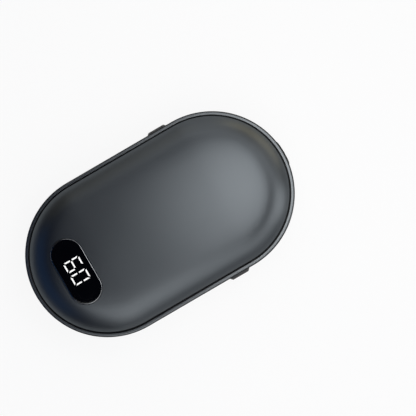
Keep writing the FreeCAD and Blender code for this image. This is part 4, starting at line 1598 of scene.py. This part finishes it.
@dataclass
class Studio:
    """Pale floor, soft lights and the camera at the photograph's angle."""

    frame_pixels: int = 416
    object_pixel: tuple[float, float] = (160.0, 224.1)
    metres_per_pixel: float = 0.000385
    long_axis_degrees: float = 30.2
    tilt_degrees: float = 2.35
    camera_distance: float = 0.70
    sensor: float = 36.0
    focus_height: float = 0.014
    floor_half: float = 4.0
    floor_drop: float = 0.0002
    floor_colour: Colour = (0.90, 0.90, 0.90)
    floor_white: float = 0.90
    world_colour: Colour = (0.003, 0.010, 0.038)
    lights: tuple[SoftBox, ...] = (
        SoftBox("key", (0.056, -0.003, 0.20), (0.048, -0.003, 0.0), (0.10, 0.09), 3.25),
        SoftBox("right_wall", (0.06, -0.58, 0.50), ORIGIN, (0.80, 0.35), 1.19),
        SoftBox("right_foot", (0.06, -0.70, 0.25), ORIGIN, (0.80, 0.36), 0.45),
        SoftBox("right_corner", (-0.28, -0.46, 0.36), ORIGIN, (0.36, 0.36), 0.2),
        SoftBox("right_roof", (-0.14, -0.30, 0.48), ORIGIN, (0.30, 0.25), 1.05),
        SoftBox("right_ridge", (-0.08, -0.17, 0.46), ORIGIN, (0.35, 0.16), 1.09),
        SoftBox("port_corner", (0.57, -0.40, 0.36), ORIGIN, (0.36, 0.50), 2.26),
        SoftBox("port_wall", (0.66, 0.07, 0.36), ORIGIN, (0.50, 0.62), 0.62),
        SoftBox("port_roof", (0.40, 0.0, 0.55), ORIGIN, (0.30, 0.30), 0.76),
        SoftBox("warm_corner", (0.68, 0.29, 0.17), ORIGIN, (0.70, 0.22), 1.25, (1.0, 0.83, 0.5)),
        SoftBox("left_wall", (0.30, 0.62, 0.36), ORIGIN, (0.72, 0.66), 0.76),
        SoftBox("warm_wall", (-0.10, 0.66, 0.30), ORIGIN, (0.60, 0.40), 0.12, (1.0, 0.84, 0.40)),
        SoftBox("left_roof", (0.22, 0.30, 0.52), ORIGIN, (0.56, 0.20), 0.66),
        SoftBox("left_ridge", (0.10, 0.16, 0.48), ORIGIN, (0.36, 0.14), 0.5),
        SoftBox("display_wall", (-0.60, 0.12, 0.34), ORIGIN, (0.90, 0.40), 0.23, (0.18, 0.44, 1.0)),
    )

    def seen(self, bench: Bench) -> Field:
        """Mark the rays that should find the background white: camera, glossy and transmission.

        Args:
            bench: Node tree of the floor's material.

        Returns:
            1 for these rays, 0 for others.
        """
        path = [
            bench.node("ShaderNodeLightPath", output=name)
            for name in ("Is Camera Ray", "Is Glossy Ray", "Is Transmission Ray")
        ]
        return path[0] + path[1] + path[2]

    def floor(self) -> None:
        """Lay the pale floor."""
        bm = bmesh.new()
        bmesh.ops.create_grid(bm, x_segments=1, y_segments=1, size=self.floor_half)
        mesh = bpy.data.meshes.new("floor")
        bm.to_mesh(mesh)
        bm.free()
        material = bpy.data.materials.new("floor_paper")
        material.use_nodes = True
        bench = Bench(material.node_tree)
        paper = bench.node("ShaderNodeBsdfDiffuse", inputs={"Color": (*self.floor_colour, 1.0)})
        white = bench.node("ShaderNodeEmission", inputs={"Color": (1.0, 1.0, 1.0, 1.0)})
        share = self.seen(bench) * self.floor_white
        mixed = bench.node("ShaderNodeMixShader", inputs={0: share, 1: paper, 2: white})
        bench.show("ShaderNodeOutputMaterial", mixed)
        mesh.materials.append(material)
        floor = bpy.data.objects.new("floor", mesh)
        floor.location.z = -self.floor_drop
        bpy.context.scene.collection.objects.link(floor)

    def world(self) -> None:
        """Dim, cool light from all round."""
        world = bpy.data.worlds.new("studio")
        world.use_nodes = True
        bench = Bench(world.node_tree)
        sky = bench.node("ShaderNodeBackground", inputs={"Color": (*self.world_colour, 1.0)})
        bench.show("ShaderNodeOutputWorld", sky)
        bpy.context.scene.world = world

    def camera(self) -> None:
        """Set the camera over the body, so that it stands in the frame as in the photograph."""
        angle = math.radians(self.long_axis_degrees)
        right = Vector((math.cos(angle), -math.sin(angle), 0.0))
        up = Vector((math.sin(angle), math.cos(angle), 0.0))
        middle = self.frame_pixels / 2
        across = (middle - self.object_pixel[0]) * self.metres_per_pixel
        upward = (self.object_pixel[1] - middle) * self.metres_per_pixel
        target = right * across + up * upward + Vector((0.0, 0.0, self.focus_height))
        tilt = math.radians(self.tilt_degrees)
        back = Vector((0.0, -math.sin(tilt), math.cos(tilt)))
        side = up.cross(back).normalized()
        turn = Matrix((side, back.cross(side), back)).transposed().to_4x4()
        data = bpy.data.cameras.new("camera")
        data.sensor_width = self.sensor
        width = self.frame_pixels * self.metres_per_pixel
        data.lens = self.sensor * self.camera_distance / width
        holder = bpy.data.objects.new("camera", data)
        holder.matrix_world = Matrix.Translation(target + back * self.camera_distance) @ turn
        bpy.context.scene.collection.objects.link(holder)
        bpy.context.scene.camera = holder

    def build(self) -> None:
        """Set up the whole studio."""
        bpy.context.scene.view_settings.view_transform = "Standard"
        self.floor()
        self.world()
        for light in self.lights:
            light.build()
        self.camera()


def main() -> None:
    """Build every sub-assembly in order, then the studio."""
    logging.basicConfig(level=logging.INFO, format="%(message)s")
    Housing().build()
    SideButton("power_button", "power_switch_plunger", "power_push", Facing.LEFT).build()
    SideButton("mode_button", "mode_switch_plunger", "mode_push", Facing.RIGHT).build()
    ChargingPort().build()
    Display().build()
    Inside().build()
    Studio().build()


if __name__ == "__main__":
    main()
